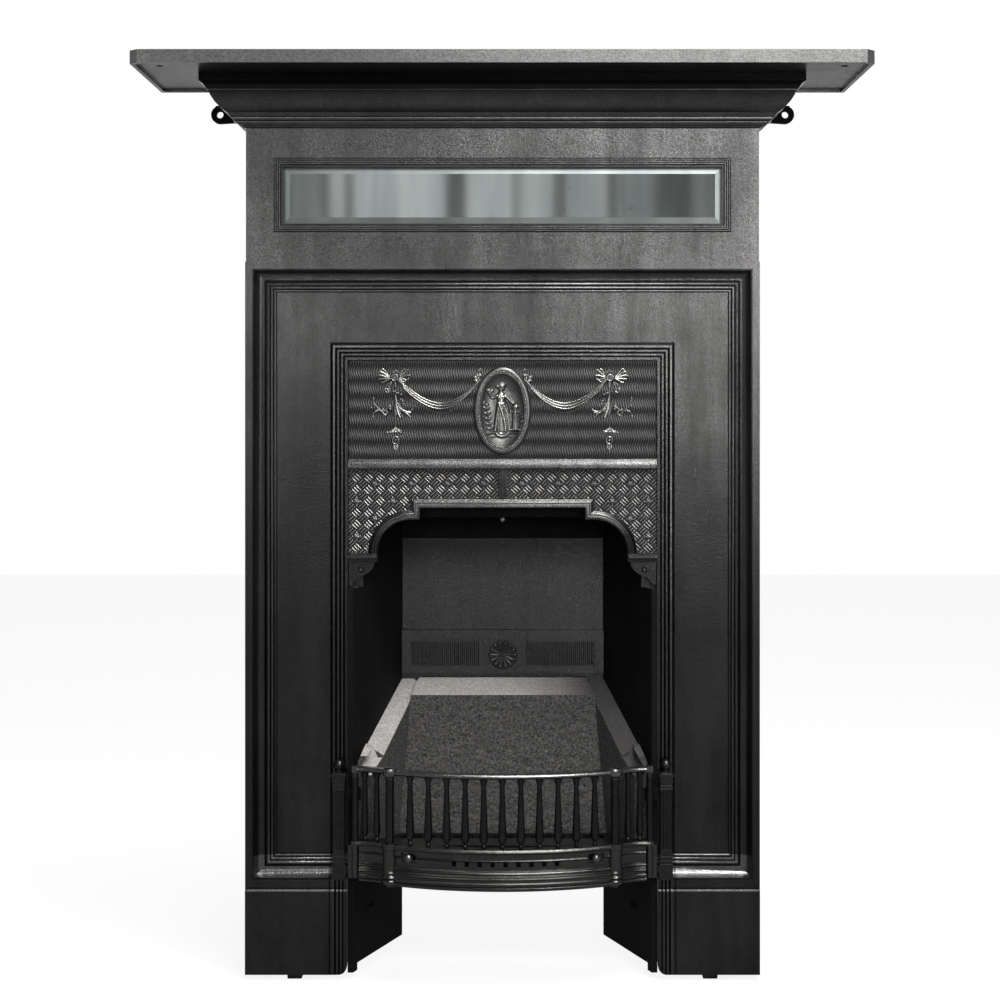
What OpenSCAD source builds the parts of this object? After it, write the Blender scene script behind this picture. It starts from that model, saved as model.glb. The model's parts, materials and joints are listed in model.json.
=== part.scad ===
// Cast iron fireplace: surround with a mirrored frieze, register insert and bow fronted grate.
// Millimetres. X to the right, Y to the back, Z up. The front faces -Y, the floor is Z = 0.

/* [Overall] */
// Height to the top of the shelf
total_h = 1231; // [1180:1:1300]
// Width of the surround and its plinths
body_w = 695; // [670:1:760]
// From the front plane of the surround back to the wall
body_d = 89; // [84:1:110]
// Wall thickness of the castings
wall = 8; // [6:0.5:9]

/* [Mantel] */
// Width of the mantel shelf
shelf_w = 954; // [880:1:1040]
// Depth of the mantel shelf
shelf_d = 229; // [190:1:270]
// Height of the shelf's rim
shelf_t = 17; // [14:0.5:24]
// Cut off each front corner of the shelf
shelf_cant = 11; // [6:0.5:20]
// Depth of the recess under the shelf
shelf_recess = 3; // [2:0.5:5]
// Width of the rim round the recess
shelf_rim = 5.5; // [4:0.5:12]
// Height of the cornice
cornice_h = 66; // [60:0.5:80]
// How far the cornice steps out at its top
cornice_out = 54; // [44:0.5:64]
// Height of the frieze
frieze_h = 180; // [170:1:200]
// Width of the seen mirror
mirror_w = 594; // [500:1:610]
// Height of the seen mirror
mirror_h = 77; // [60:1:84]
// Middle of the mirror above the bottom of the frieze
mirror_mid = 90; // [82:1:96]
// Width of the reeded frame round the mirror
mirror_frame = 11; // [9:0.5:14]
// Thickness of the mirror glass
glass_t = 5; // [4:0.5:6]
// Radius of the hole in a wall lug
lug_hole_r = 4.8; // [3.5:0.1:6]
// Outer radius of a wall lug
lug_r = 12.5; // [11:0.5:15]
// Wall lug centre outside the body's side
lug_out = 46.5; // [44:0.5:60]

/* [Surround] */
// Height of the ribs that the plinths stand on
foot_h = 8.5; // [5:0.5:14]
// Width of such a rib
rib_w = 20; // [12:1:30]
// Middle of a rib in from the side
rib_in = 66; // [40:1:80]
// Height of a rib, most of it inside the plinth
rib_h = 60; // [40:1:90]
// Height of a plinth block
plinth_h = 114; // [100:1:118]
// Plain flat round the outer edge of the frame
edge_flat = 10.5; // [8:0.5:13]
// Width of the shaped outer moulding
mould_w = 29.5; // [26:0.5:34]
// Depth of the panel behind the front plane
panel_in = 23; // [21.5:0.5:28]
// Width of the stepped frame round the opening
inner_w = 24; // [22:0.5:28]
// Width of the opening for the insert
open_w = 420; // [400:1:440]
// From the top of the surround down to the opening
open_drop = 133; // [110:1:150]
// Width of a fluted side post
post_w = 17.6; // [15:0.2:20]
// Height of a side post
post_h = 144; // [120:1:160]
// Height of its flutes
flute_h = 80; // [60:1:90]
// Radius of the ball on a side post
ball_r = 7.7; // [6:0.1:8.4]

/* [Insert] */
// Height of the field with the swags
swag_h = 133; // [120:1:140]
// Height of the rail under the swags
rail_h = 16; // [12:0.5:20]
// Half width of the medallion
oval_w = 39.5; // [32:0.5:44]
// Half height of the medallion
oval_h = 60; // [50:0.5:60]
// From the rail down to the arch's feet
spring_drop = 113; // [105:1:125]
// Radius of the quarter arches, to the inside
arch_r = 46; // [42:0.5:50]
// Width of the arch moulding
arch_band = 12; // [9:0.5:14]
// Half width of the raised middle of the arch
crown_half = 112.5; // [100:0.5:118]
// Height of the foot moulding
foot_mould_h = 12; // [10:0.5:14]
// Height of a bracket under an arch foot
ear_h = 32; // [26:0.5:36]

/* [Firebox] */
// Half width between the cheeks at the front
cheek_front = 202; // [198:0.5:202]
// Half width of the fire back
cheek_back = 144; // [138:0.5:150]
// Inner depth from the wall plane to the fire back
back_y = 62; // [50:1:80]
// Thickness of the cheeks
cheek_t = 7; // [6:0.5:7]
// Gap under the cheeks' feet
leg_gap = 9.5; // [9:0.5:20]
// Top of the fire back above the arch's feet
back_over = 11; // [0:1:20]
// Height of the smoke throat
throat_h = 60; // [50:1:80]
// Top of the fluted band
band_top = 456; // [445:1:470]
// Height of the fluted band
band_h = 64; // [58:1:66]
// Radius of the rosette
rosette_r = 21; // [17:0.5:23]
// Width of a side brick
brick_side = 25; // [20:0.5:30]
// Top of the back brick
brick_top = 388; // [375:1:390]
// Underside of the bricks
brick_low = 169; // [164:1:174]
// Width of the damper flap
flap_w = 240; // [200:1:256]
// Depth of the damper flap
flap_d = 84; // [70:1:92]
// Radius of the flap's hinge pin
pin_r = 3; // [2.5:0.1:3.5]
// Clearance round the hinge pin
pin_gap = 0.08; // [0.05:0.01:0.1]

/* [Grate] */
// How far the middle of the bars stands out from the wall
bow_y = 152; // [146:1:165]
// How far the corners stand out from the wall
knuckle_y = 120; // [116:1:126]
// Half width at the corners of the bars
knuckle_x = 150; // [140:1:156]
// How far the ends of the bars stand out from the wall
end_y = 100; // [97:1:106]
// Half width at the ends of the bars
end_x = 198; // [194:0.5:200]
// Top of the top rail
bars_top = 291; // [280:1:305]
// Height of the top rail
top_rail_h = 6.5; // [5:0.5:9]
// Top of the bottom rail
ledge_z = 192; // [188:1:200]
// Underside of the apron
apron_low = 137; // [130:1:140]
// Spacing of the balusters in the bow
pitch = 24.5; // [21:0.5:25]
// Widest radius of a baluster
bal_r = 5.8; // [4.6:0.1:6.2]
// Radius of a baluster's neck
neck_r = 3.2; // [2.4:0.1:3.6]
// Radius of the posts under the corners of the bars
corner_r = 5.8; // [4.6:0.1:5.9]
// Spacing of the air slots
slot_pitch = 17; // [15:0.5:18]
// Width of an air slot
slot_w = 6; // [4:0.5:7]
// Knob of the air slide from the middle
knob_x = 122.5; // [112:0.5:126]
// Radius of the knobs of the air slide
knob_r = 6; // [5:0.1:6.4]
// Width of a pocket round a knob
pocket_w = 23; // [22.5:0.5:26]
// Clearance round sliding parts
slide_gap = 0.4; // [0.3:0.1:0.6]

/* [Hidden] */
$fn = 48;
tall = 2000;                      // taller than the whole

F = -body_d;                      // front plane of the surround
hw = body_w / 2;
frame_top = total_h - shelf_t + shelf_recess - cornice_h - frieze_h;
frieze_top = frame_top + frieze_h;
cornice_top = frieze_top + cornice_h;
shelf_low = total_h - shelf_t;
plinth_top = foot_h + plinth_h;
lug_x = hw + lug_out;
open_top = frame_top - open_drop;
// mitred frames lie on a fine grid so that their corners meet
function up(v) = ceil(v * 16) / 16;
function near(v) = round(v * 16) / 16;
oh = open_w / 2;
panel_y = F + panel_in;           // front of the recessed panel
panel_back = panel_y + wall;
sill_low = plinth_top + edge_flat + 4.5;
frz_hw = hw - 1;                  // the frieze is a little narrower
frz_y = F + 1;
mir_z = frame_top + mirror_mid;

plate_y = panel_y + 2;            // front of the insert's plates
ins_w = oh - 0.3;
swag_low = open_top - swag_h;
rail_low = swag_low - rail_h;
spring_z = rail_low - spring_drop;
back_top = spring_z + back_over;
crown_low = spring_z + arch_r + 16;
crown_top = crown_low + arch_band + 3;
arch_x = crown_half + arch_band;  // centre of the quarter arches

splay = (cheek_front - cheek_back) / (back_y + 84);   // cheek half width lost per mm of depth
front_y = -84;                    // front edge of the cheeks
function chk(y) = cheek_front - splay * (y - front_y);
cheek_out = cheek_t * sqrt(1 + splay * splay);
cheek_high = spring_z - foot_mould_h - ear_h - 4;
throat_z = back_top + 37;
brick_rake = 39;                  // how far the back brick leans
brick_y = back_y - 30;            // back brick's face at its top

bow_r = (knuckle_x * knuckle_x + (bow_y - knuckle_y) * (bow_y - knuckle_y)) / (2 * (bow_y - knuckle_y));
bow_c = bow_r - bow_y;            // Y of the bow's centre
bow_a = asin(knuckle_x / bow_r);
dx = end_x - knuckle_x;
dy = knuckle_y - end_y;
cove_r = (dx * dx + dy * dy) / (2 * dy);
cove_c = -end_y - cove_r;         // Y of a side curve's centre
cove_a = asin(dx / cove_r);
apron_top = ledge_z - 6.2;

// the origin is the bottom centre of the whole
y_shift = (shelf_d - back_y - wall - 6) / 2;
module put() { translate([0, y_shift, 0]) children(); }

// ---- helpers ----
module box(x0, x1, y0, y1, z0, z1) { translate([x0, y0, z0]) cube([x1 - x0, y1 - y0, z1 - z0]); }
module both() { children(); mirror([1, 0, 0]) children(); }
module rod_y(r, y0, y1) { translate([0, y1, 0]) rotate([90, 0, 0]) cylinder(r = r, h = y1 - y0); }
module bar_x(len, prof) { rotate([90, 0, 90]) linear_extrude(len, center = true) polygon(prof); }
module sheet(y0, y1) { translate([0, y1, 0]) rotate([90, 0, 0]) linear_extrude(y1 - y0) children(); }
module bolt_z(r, z0, z1) {
  translate([0, 0, z0]) cylinder(r = r, h = z1 - z0);
  translate([0, 0, z0 - 5]) cylinder(r = r * 1.9, h = 5, $fn = 6);
}

// one side of a mitred frame: outer edge on Z = 0, profile points are [inward, depth]
module mould(len, width, prof, y0, a = 1, b = 1) {
  w = near(width);
  intersection() {
    bar_x(len, [for (p = prof) [near(y0 + p[1]), -near(p[0])]]);
    translate([0, y0 + 2 * width + 10, 0]) rotate([90, 0, 0]) linear_extrude(4 * width + 20)
      polygon([[-len / 2, 0], [len / 2, 0], [len / 2 - b * w, -w], [-len / 2 + a * w, -w]]);
  }
}

outer_prof = [[0, 0], [0, 2], [1.2, 2], [2, 6], [4, 10.4], [7, 13.4], [10.5, 14.8], [14, 15],
  [14, 17.5], [17, 17.5], [17.4, 15.7], [19, 15], [20.6, 15.7], [21, 18.2], [22, 18.2],
  [22.4, 17.4], [24, 16.8], [25.4, 17.4], [25.8, 20.4], [26.6, 20.4], [27, 19.6],
  [28.2, 19.3], [mould_w, 20], [mould_w, panel_in + wall], [0, panel_in + wall]];
inner_prof = [[0, panel_in + wall], [0, 21], [1, 20], [3.6, 15.4], [4, 14], [6.4, 13.7], [6.8, 16.6],
  [9.4, 16.8], [9.8, 15.6], [12, 15.6], [12.4, 18.6], [14.6, 18.6], [15, 17.4], [17.2, 17.4],
  [17.6, 20.6], [19.4, 20.6], [19.8, 19.4], [inner_w - 0.6, 19.4], [inner_w, 20.2],
  [inner_w, panel_in + wall]];

// ---- mantel ----
module shelf_plan(o) {
  w = shelf_w / 2 - o;
  c = shelf_cant;
  polygon([[-w, 0], [-w, -shelf_d + o + c], [-w + c, -shelf_d + o], [w - c, -shelf_d + o],
           [w, -shelf_d + o + c], [w, 0]]);
}

bolt_out = hw - 47.5;
bolt_x = [-bolt_out, -bolt_out / 3, bolt_out / 3, bolt_out];
shelf_bolt_y = F - 12;

module shelf() {
  color("#2b2b2c") difference() {
    translate([0, 0, shelf_low]) linear_extrude(shelf_t) shelf_plan(0);
    translate([0, 0, shelf_low - 1]) linear_extrude(shelf_recess + 1) intersection() {
      shelf_plan(shelf_rim);
      translate([-shelf_w, -shelf_d]) square([2 * shelf_w, shelf_d - shelf_rim]);
    }
    both() translate([shelf_w / 2 - 33, -shelf_d + 42, shelf_low - 1]) cylinder(r = 5, h = 11);
    for (x = bolt_x) translate([x, shelf_bolt_y, shelf_low - 1]) cylinder(r = 3.1, h = 12);
  }
}

k_out = cornice_out / 54;
k_up = cornice_h / 66;
cornice_prof = [for (p = [[-8, 0], [0, 0], [2, 1], [3, 3], [7, 3.5], [8.5, 6], [8.5, 8], [13, 9],
  [14.5, 11], [14.5, 13], [18, 14], [20, 17], [20.5, 18.5], [23, 19], [30, 24.5], [36, 31],
  [40.5, 38], [43, 44], [43, 46], [46, 47], [49, 52], [52, 54], [54, 55], [54, 66], [46, 66],
  [46, 60], [35, 48], [28, 38], [18, 29], [8, 20], [0, 14], [-8, 12]])
  [p[0] * k_out, p[1] * k_up]];
corn_back = -wall - 0.4;          // the side returns stop in front of the wall lugs

module cornice() {
  o = cornice_out + 10;
  color("#262627") difference() {
    union() {
      intersection() {
        bar_x(body_w + 2 * o, [for (p = cornice_prof) [F - p[0], frieze_top + p[1]]]);
        linear_extrude(tall) polygon([[-hw - o, F - o], [hw + o, F - o], [hw - 20, F + 20],
                                      [-hw + 20, F + 20]]);
      }
      both() intersection() {
        translate([0, corn_back, 0]) rotate([90, 0, 0]) linear_extrude(400)
          polygon([for (p = cornice_prof) [hw + p[0], frieze_top + p[1]]]);
        linear_extrude(tall) polygon([[hw + o, F - o], [hw + o, corn_back], [hw - 20, corn_back],
                                      [hw - 20, F + 20]]);
      }
      // web that carries the shelf
      box(-hw - 20, hw + 20, F - 30, F + 45, cornice_top - wall, cornice_top);
      for (x = bolt_x) box(x - 14, x + 14, F, F + 45, frieze_top, frieze_top + wall);
      for (x = bolt_x) box(x + 8, x + 14, F, F + 45, frieze_top, cornice_top);
      both() box(hw + 5, hw + 24, -32, corn_back, frieze_top + 18, frieze_top + 42);
      both() box(hw + 5, hw + 12, F - 1, -12, frieze_top + 28, cornice_top);
    }
    for (x = bolt_x) translate([x, shelf_bolt_y, cornice_top - 20]) cylinder(r = 3.1, h = 30);
    for (x = bolt_x) translate([x, frz_bolt_y, frieze_top - 2]) cylinder(r = 3.1, h = 12);
    both() translate([hw + 15, 0, frieze_top + 31]) rod_y(2.6, -26, 5);
  }
}

module shelf_bolts() {
  color("#5a5b5e") for (x = bolt_x)
    translate([x, shelf_bolt_y, 0]) bolt_z(3, cornice_top - wall, cornice_top + 8);
}

mirror_prof = [[0, 0], [0, -2], [1, -3.2], [2.2, -3.2], [2.6, -1], [3.2, -1], [3.6, -3.2], [5, -3.2],
  [5.4, -0.6], [6, -0.6], [6.4, -2.2], [7.8, -2.2], [8.2, 1.4], [9, 1.4], [9.4, 0.4],
  [mirror_frame, 0.4], [mirror_frame, wall], [0, wall]];
mir_hw = up(mirror_w / 2);
mir_hh = up(mirror_h / 2);
glass_y = frz_y + wall;
glass_hw = mirror_w / 2 + 6;
glass_hh = mirror_h / 2 + 6;
board_y = glass_y + glass_t;
board_t = 5;
frz_bolt_y = F + 36;
clip_out = mirror_w / 2 - 57;
clip_x = [-clip_out, 0, clip_out];

module mirror_hole() {
  box(-mirror_w / 2, mirror_w / 2, frz_y - 20, frz_y + 40, mir_z - mirror_h / 2, mir_z + mirror_h / 2);
}

module frieze() {
  m = mirror_frame;
  color("#2c2c2d") difference() {
    union() {
      difference() {
        box(-frz_hw, frz_hw, frz_y, frz_y + wall, frame_top, frieze_top);
        mirror_hole();
      }
      both() box(frz_hw - wall, frz_hw, frz_y, 0, frame_top, frieze_top);
      box(-frz_hw, frz_hw, frz_y, frz_bolt_y + 10, frame_top, frame_top + wall);
      box(-frz_hw, frz_hw, frz_y, frz_bolt_y + 10, frieze_top - wall, frieze_top);
      for (s = [0, 180]) translate([0, 0, up(mir_z)]) rotate([0, s, 0])
        translate([0, 0, mir_hh + m]) mould(2 * (mir_hw + m), m, mirror_prof, frz_y);
      for (s = [-90, 90]) translate([0, 0, up(mir_z)]) rotate([0, s, 0])
        translate([0, 0, mir_hw + m]) mould(2 * (mir_hh + m), m, mirror_prof, frz_y);
      for (x = clip_x, s = [-1, 1]) translate([x, 0, mir_z + s * (glass_hh + 8)])
        rod_y(5, glass_y - 1, board_y + board_t);
    }
    for (x = bolt_x) translate([x, frz_bolt_y, frame_top - 5]) cylinder(r = 3.1, h = frieze_h + 20);
    for (x = clip_x, s = [-1, 1]) translate([x, 0, mir_z + s * (glass_hh + 8)])
      rod_y(1.7, board_y - 6, board_y + 20);
  }
}

module mirror_glass() {
  b = 15;
  color("#aeb8b6") translate([0, 0, mir_z]) hull() {
    box(-glass_hw, glass_hw, glass_y + 2, board_y, -glass_hh, glass_hh);
    box(-glass_hw + b, glass_hw - b, glass_y, board_y, -glass_hh + b, glass_hh - b);
  }
}

module mirror_board() {
  color("#7a5a3a")
    box(-glass_hw, glass_hw, board_y, board_y + board_t, mir_z - glass_hh, mir_z + glass_hh);
}

clip_y = board_y + board_t;
module mirror_clips() {
  color("#77797c") for (x = clip_x, s = [-1, 1]) translate([x, 0, mir_z + s * (glass_hh + 2)])
    difference() {
      box(-6, 6, clip_y, clip_y + 2, -12, 12);
      translate([0, 0, s * 6]) rod_y(1.7, clip_y - 1, clip_y + 3);
    }
}

module mirror_screws() {
  color("#8d8f92") for (x = clip_x, s = [-1, 1]) translate([x, 0, mir_z + s * (glass_hh + 8)]) {
    rod_y(1.6, clip_y - 8, clip_y + 2);
    rod_y(3.2, clip_y + 2, clip_y + 3.6);
  }
}

module frieze_bolts() {
  color("#5a5b5e") for (x = bolt_x) translate([x, frz_bolt_y, 0]) {
    bolt_z(3, frame_top - wall, frame_top + wall + 2);
    translate([0, 0, frieze_top + wall + 2]) rotate([180, 0, 0]) translate([0, 0, 2])
      bolt_z(3, 0, 2 * wall + 1);
  }
}

lug_z = frieze_top + 31;
module wall_lugs() {
  color("#232324") both() difference() {
    sheet(-wall, 0) union() {
      translate([lug_x, lug_z]) circle(r = lug_r);
      translate([lug_x - 6, lug_z]) square([12, lug_r]);
      polygon([[hw + 6, lug_z - 10], [lug_x, lug_z - lug_r], [lug_x, lug_z + lug_r],
               [hw + 30, lug_z + 14], [hw + 6, lug_z + 14]]);
    }
    translate([lug_x, 0, lug_z]) rod_y(lug_hole_r, -20, 5);
    translate([hw + 15, 0, lug_z]) rod_y(2.6, -20, 5);
  }
}

module lug_bolts() {
  color("#5a5b5e") both() translate([hw + 15, 0, lug_z]) rod_y(2.5, -24, -1);
}

// ---- surround ----
module surround() {
  mz0 = up(sill_low);
  mz1 = up(frame_top - edge_flat);
  mh = mz1 - mz0;
  mx = up(hw - edge_flat);
  ix = up(oh + inner_w);
  iz = up(open_top + inner_w);
  il = up(plinth_top);
  sill_in = up(oh + inner_w - 3);
  color("#29292a") difference() {
    union() {
      // recessed panel and its opening
      difference() {
        box(-mx - 2, mx + 2, panel_y, panel_back, plinth_top - 10, frame_top - 2);
        box(-oh, oh, -200, 10, 0, open_top);
      }
      // flat edge and side returns
      both() box(hw - edge_flat, hw, F, panel_back, plinth_top, frame_top);
      both() box(hw - wall, hw, F, 0, foot_h, frame_top);
      box(-hw, hw, F, panel_back, mz1, frame_top);
      box(-hw, hw, panel_y, F + 46, frame_top - wall, frame_top);
      both() box(oh, hw, F, panel_back, plinth_top - 6, mz0);
      // outer moulding
      translate([0, 0, mz1]) mould(2 * mx, mould_w, outer_prof, F);
      both() translate([-mx, 0, (mz0 + mz1) / 2]) rotate([0, -90, 0]) mould(mh, mould_w, outer_prof, F);
      both() translate([-(mx + sill_in) / 2, 0, mz0]) mirror([0, 0, 1])
        mould(mx - sill_in, mould_w, outer_prof, F, 1, 0);
      // stepped frame round the opening
      translate([0, 0, iz]) mould(2 * ix, inner_w, inner_prof, F);
      both() translate([-ix, 0, (iz + il) / 2]) rotate([0, -90, 0]) mould(iz - il, inner_w, inner_prof, F, 0, 1);
      // plinth blocks
      both() sheet(F - 2, F + wall) union() {
        translate([oh, foot_h + 12]) square([hw - oh, plinth_h - 12]);
        translate([oh + 12, foot_h]) square([hw - oh - 12, 14]);
        translate([oh + 12, foot_h + 12]) circle(r = 12);
      }
      both() box(oh, oh + wall, F, -20, foot_h + 14, plinth_top);
      both() box(oh, hw, F, panel_back, plinth_top - wall, plinth_top);
      // ribs that the cheeks are bolted to
      both() box(oh, oh + wall, panel_y + 1, -20, plinth_top - 2, cheek_high);
    }
    for (x = bolt_x) translate([x, frz_bolt_y, frame_top - 20]) cylinder(r = 3.1, h = 30);
    both() for (z = cheek_bolt_z) translate([oh, cheek_bolt_y, z]) rotate([0, 90, 0])
      translate([0, 0, -20]) cylinder(r = 3.1, h = 40);
    both() for (z = insert_bolt_z) translate([oh + 6, 0, z]) rod_y(2.6, panel_back - 6, panel_back + 5);
  }
}

foot_x = hw - rib_in;
module feet() {
  color("#232324") both()
    box(foot_x - rib_w / 2, foot_x + rib_w / 2, F + wall, -wall, 0, rib_h);
}

post_x = oh + 11;
post_low = sill_low;
post_top = sill_low + post_h;
ring_z = [post_top - 23.5, post_top - 19.5];  // two rings over the flutes
post_back = F + 13;
post_front = F - 5;
module post() {
  w = post_w / 2;
  translate([post_x, 0, 0]) difference() {
    union() {
      box(-w, w, post_front, F, post_low, post_low + 21);
      box(-w, w, F, post_back, sill_low + mould_w + 0.02, post_low + 34);
      box(-w + 1, w - 1, post_front + 1, post_back, post_low + 20, post_top - 12);
      box(-w, w, post_front, F, post_low + 22, post_low + 25.5);
      box(-w, w, post_front, F, post_low + 27, post_low + 31);
      for (z = ring_z) box(-w, w, post_front, F, z, z + 2.2);
      box(-w, w, post_front - 0.5, post_back, post_top - 14, post_top - 5);
      box(-w - 1.5, w + 1.5, post_front - 2, post_back - 1, post_top - 5, post_top - 1.5);
      box(-w + 2, w - 2, post_front, post_back - 2, post_top - 2, post_top);
    }
    // flutes
    for (x = [-1, 0, 1]) translate([x * (post_w - 3) / 3, post_front + 0.4, post_low + 40])
      cylinder(r = 1.9, h = flute_h);
    translate([0, (post_front + post_back) / 2, post_top - 6]) cylinder(r = 2.6, h = 20);
  }
}
module post_left() { color("#2a2a2b") mirror([1, 0, 0]) post(); }
module post_right() { color("#2a2a2b") post(); }
module post_balls() {
  color("#343435") both() translate([post_x, (post_front + post_back) / 2, 0]) {
    translate([0, 0, post_top + ball_r + 1.5]) sphere(r = ball_r);
    translate([0, 0, post_top - 5]) cylinder(r = 2.5, h = 10);
    translate([0, 0, post_top]) cylinder(r = 5, h = 3);
  }
}

// ---- insert ----
insert_bolt_z = [spring_z + 24, rail_low + 30, open_top - 20];
module insert_flange(z0, z1) {
  difference() {
    box(-oh - 14, oh + 14, panel_back, panel_back + wall - 2, z0, z1);
    box(-oh + 30, oh - 30, panel_back - 5, panel_back + 20, z0 - 1, z1 - 20);
    both() for (z = insert_bolt_z) translate([oh + 6, 0, z]) rod_y(2.6, panel_back - 5, panel_back + 15);
  }
}
module insert_bolts() {
  color("#5a5b5e") both() for (z = insert_bolt_z) translate([oh + 6, 0, z]) {
    rod_y(2.5, panel_back - 5, panel_back + wall - 2);
    rod_y(4.6, panel_back + wall - 2, panel_back + wall + 2);
  }
}

oval_z = open_top - swag_h * 0.511;
module swag_panel() {
  color("#2e2e2f") union() {
    difference() {
      box(-ins_w, ins_w, plate_y, panel_back, rail_low, open_top - 0.3);
      translate([0, panel_back, oval_z]) rotate([90, 0, 0]) scale([oval_w + 0.3, oval_h + 0.3, 1])
        cylinder(r = 1, h = 20, $fn = 128);
    }
    insert_flange(rail_low, open_top + 12);
    bar_x(2 * ins_w, [[plate_y + 1, swag_low], [plate_y - 4, swag_low - 1], [plate_y - 9, swag_low - 7],
      [plate_y - 10, swag_low - 9.5], [plate_y - 10, rail_low + 2.5], [plate_y - 8, rail_low],
      [plate_y + 1, rail_low]]);
  }
}

module medallion() {
  color("#303031") translate([0, panel_back, oval_z]) rotate([90, 0, 0]) difference() {
    union() {
      scale([oval_w, oval_h, 1]) cylinder(r = 1, h = panel_back - plate_y + 5, $fn = 128);
      scale([oval_w - 3, oval_h - 3, 1]) cylinder(r = 1, h = panel_back - plate_y + 8, $fn = 128);
    }
    translate([0, 0, 10]) scale([oval_w - 8, oval_h - 8, 1]) cylinder(r = 1, h = 30, $fn = 128);
  }
}

module arch_hole(o) {
  // opening of the arch, grown by o
  union() {
    translate([-crown_half - o, spring_z - 100]) square([2 * (crown_half + o), crown_low - spring_z + 100 + o]);
    translate([-arch_x - 0.5, spring_z - 100]) square([2 * arch_x + 1, arch_r + 100 + o]);
    for (s = [-1, 1]) translate([s * arch_x, spring_z]) circle(r = arch_r + o, $fn = 96);
    translate([-arch_x - arch_r - o, spring_z - 100]) square([2 * (arch_x + arch_r + o), 100]);
  }
}

foot_in = arch_x + arch_r + 1;    // inner end of the foot moulding
module hood() {
  foot_low = spring_z - foot_mould_h;
  color("#2d2d2e") union() {
    sheet(plate_y, panel_back) difference() {
      translate([-ins_w, foot_low + 0.2]) square([2 * ins_w, rail_low - foot_low - 0.4]);
      arch_hole(0);
    }
    // arch moulding in three steps
    sheet(plate_y - 10, plate_y + 1) intersection() {
      difference() { arch_hole(arch_band * 0.62); arch_hole(0); }
      translate([-ins_w, spring_z - 1]) square([2 * ins_w, 200]);
    }
    sheet(plate_y - 6, plate_y + 1) intersection() {
      difference() { arch_hole(arch_band); arch_hole(0); }
      translate([-ins_w, spring_z - 1]) square([2 * ins_w, 200]);
    }
    sheet(plate_y - 12, plate_y + 1) intersection() {
      difference() { arch_hole(arch_band * 0.3); arch_hole(0); }
      translate([-ins_w, spring_z - 1]) square([2 * ins_w, 200]);
    }
    // foot mouldings
    both() translate([(foot_in + ins_w) / 2, 0, 0])
      bar_x(ins_w - foot_in, [[plate_y + 1, foot_low], [plate_y - 8, foot_low], [plate_y - 10, foot_low + 3],
        [plate_y - 14, foot_low + 4], [plate_y - 16, foot_low + 7], [plate_y - 12, spring_z - 1],
        [plate_y - 8, spring_z], [plate_y + 1, spring_z]]);
    both() box(foot_in, ins_w, plate_y, panel_back, foot_low, spring_z);
    // flange behind the surround
    both() difference() {
      box(arch_x + arch_r + 2, oh + 14, panel_back, panel_back + wall - 2, foot_low, rail_low - 0.2);
      for (z = insert_bolt_z) translate([oh + 6, 0, z]) rod_y(2.6, panel_back - 5, panel_back + 15);
    }
    // closes the gap between cheek and jamb behind the brackets
    both() box(oh - 20, oh + 14, panel_back, panel_back + wall - 2, cheek_high + 0.3, foot_low + 1);
    both() box(chk(panel_back) + cheek_out + 0.8, oh - 0.3, panel_back, panel_back + wall - 2, cheek_high - 14,
               cheek_high + 1);
  }
}

module hood_divider() {
  color("#2d2d2e") difference() {
    box(-5, 5, plate_y - 8, plate_y, crown_top + 1, rail_low - 0.2);
    for (x = [-2.6, 2.6]) translate([x, plate_y - 8, crown_top - 5]) cylinder(r = 1, h = 80);
  }
}

ear_w = oh - foot_in - 3;
ear_top = spring_z - foot_mould_h;
module hood_ears() {
  color("#2f2f30") both() difference() {
    sheet(plate_y - 2, plate_y + 6) difference() {
      union() {
        intersection() {
          translate([ins_w, ear_top]) scale([ear_w, ear_h * 0.72]) circle(r = 1, $fn = 96);
          translate([ins_w - ear_w - 5, ear_top - ear_h]) square([ear_w + 5, ear_h]);
        }
        translate([ins_w - ear_w * 0.34, ear_top - ear_h]) square([ear_w * 0.34, ear_h * 0.6]);
      }
      translate([ins_w - ear_w * 0.36, ear_top - ear_h]) circle(r = ear_w * 0.2, $fn = 48);
    }
    translate([ins_w - ear_w * 0.46, 0, ear_top - ear_h * 0.36]) rod_y(1.6, -200, 200);
  }
}
module ear_studs() {
  color("#3a3a3b") both() translate([ins_w - ear_w * 0.46, plate_y - 2, ear_top - ear_h * 0.36])
    rotate([90, 0, 0]) {
      translate([0, 0, -6]) cylinder(r = 1.5, h = 7);
      intersection() {
        translate([0, 0, -1.6]) sphere(r = 4.2);
        cylinder(r = 5, h = 6);
      }
    }
}

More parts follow.
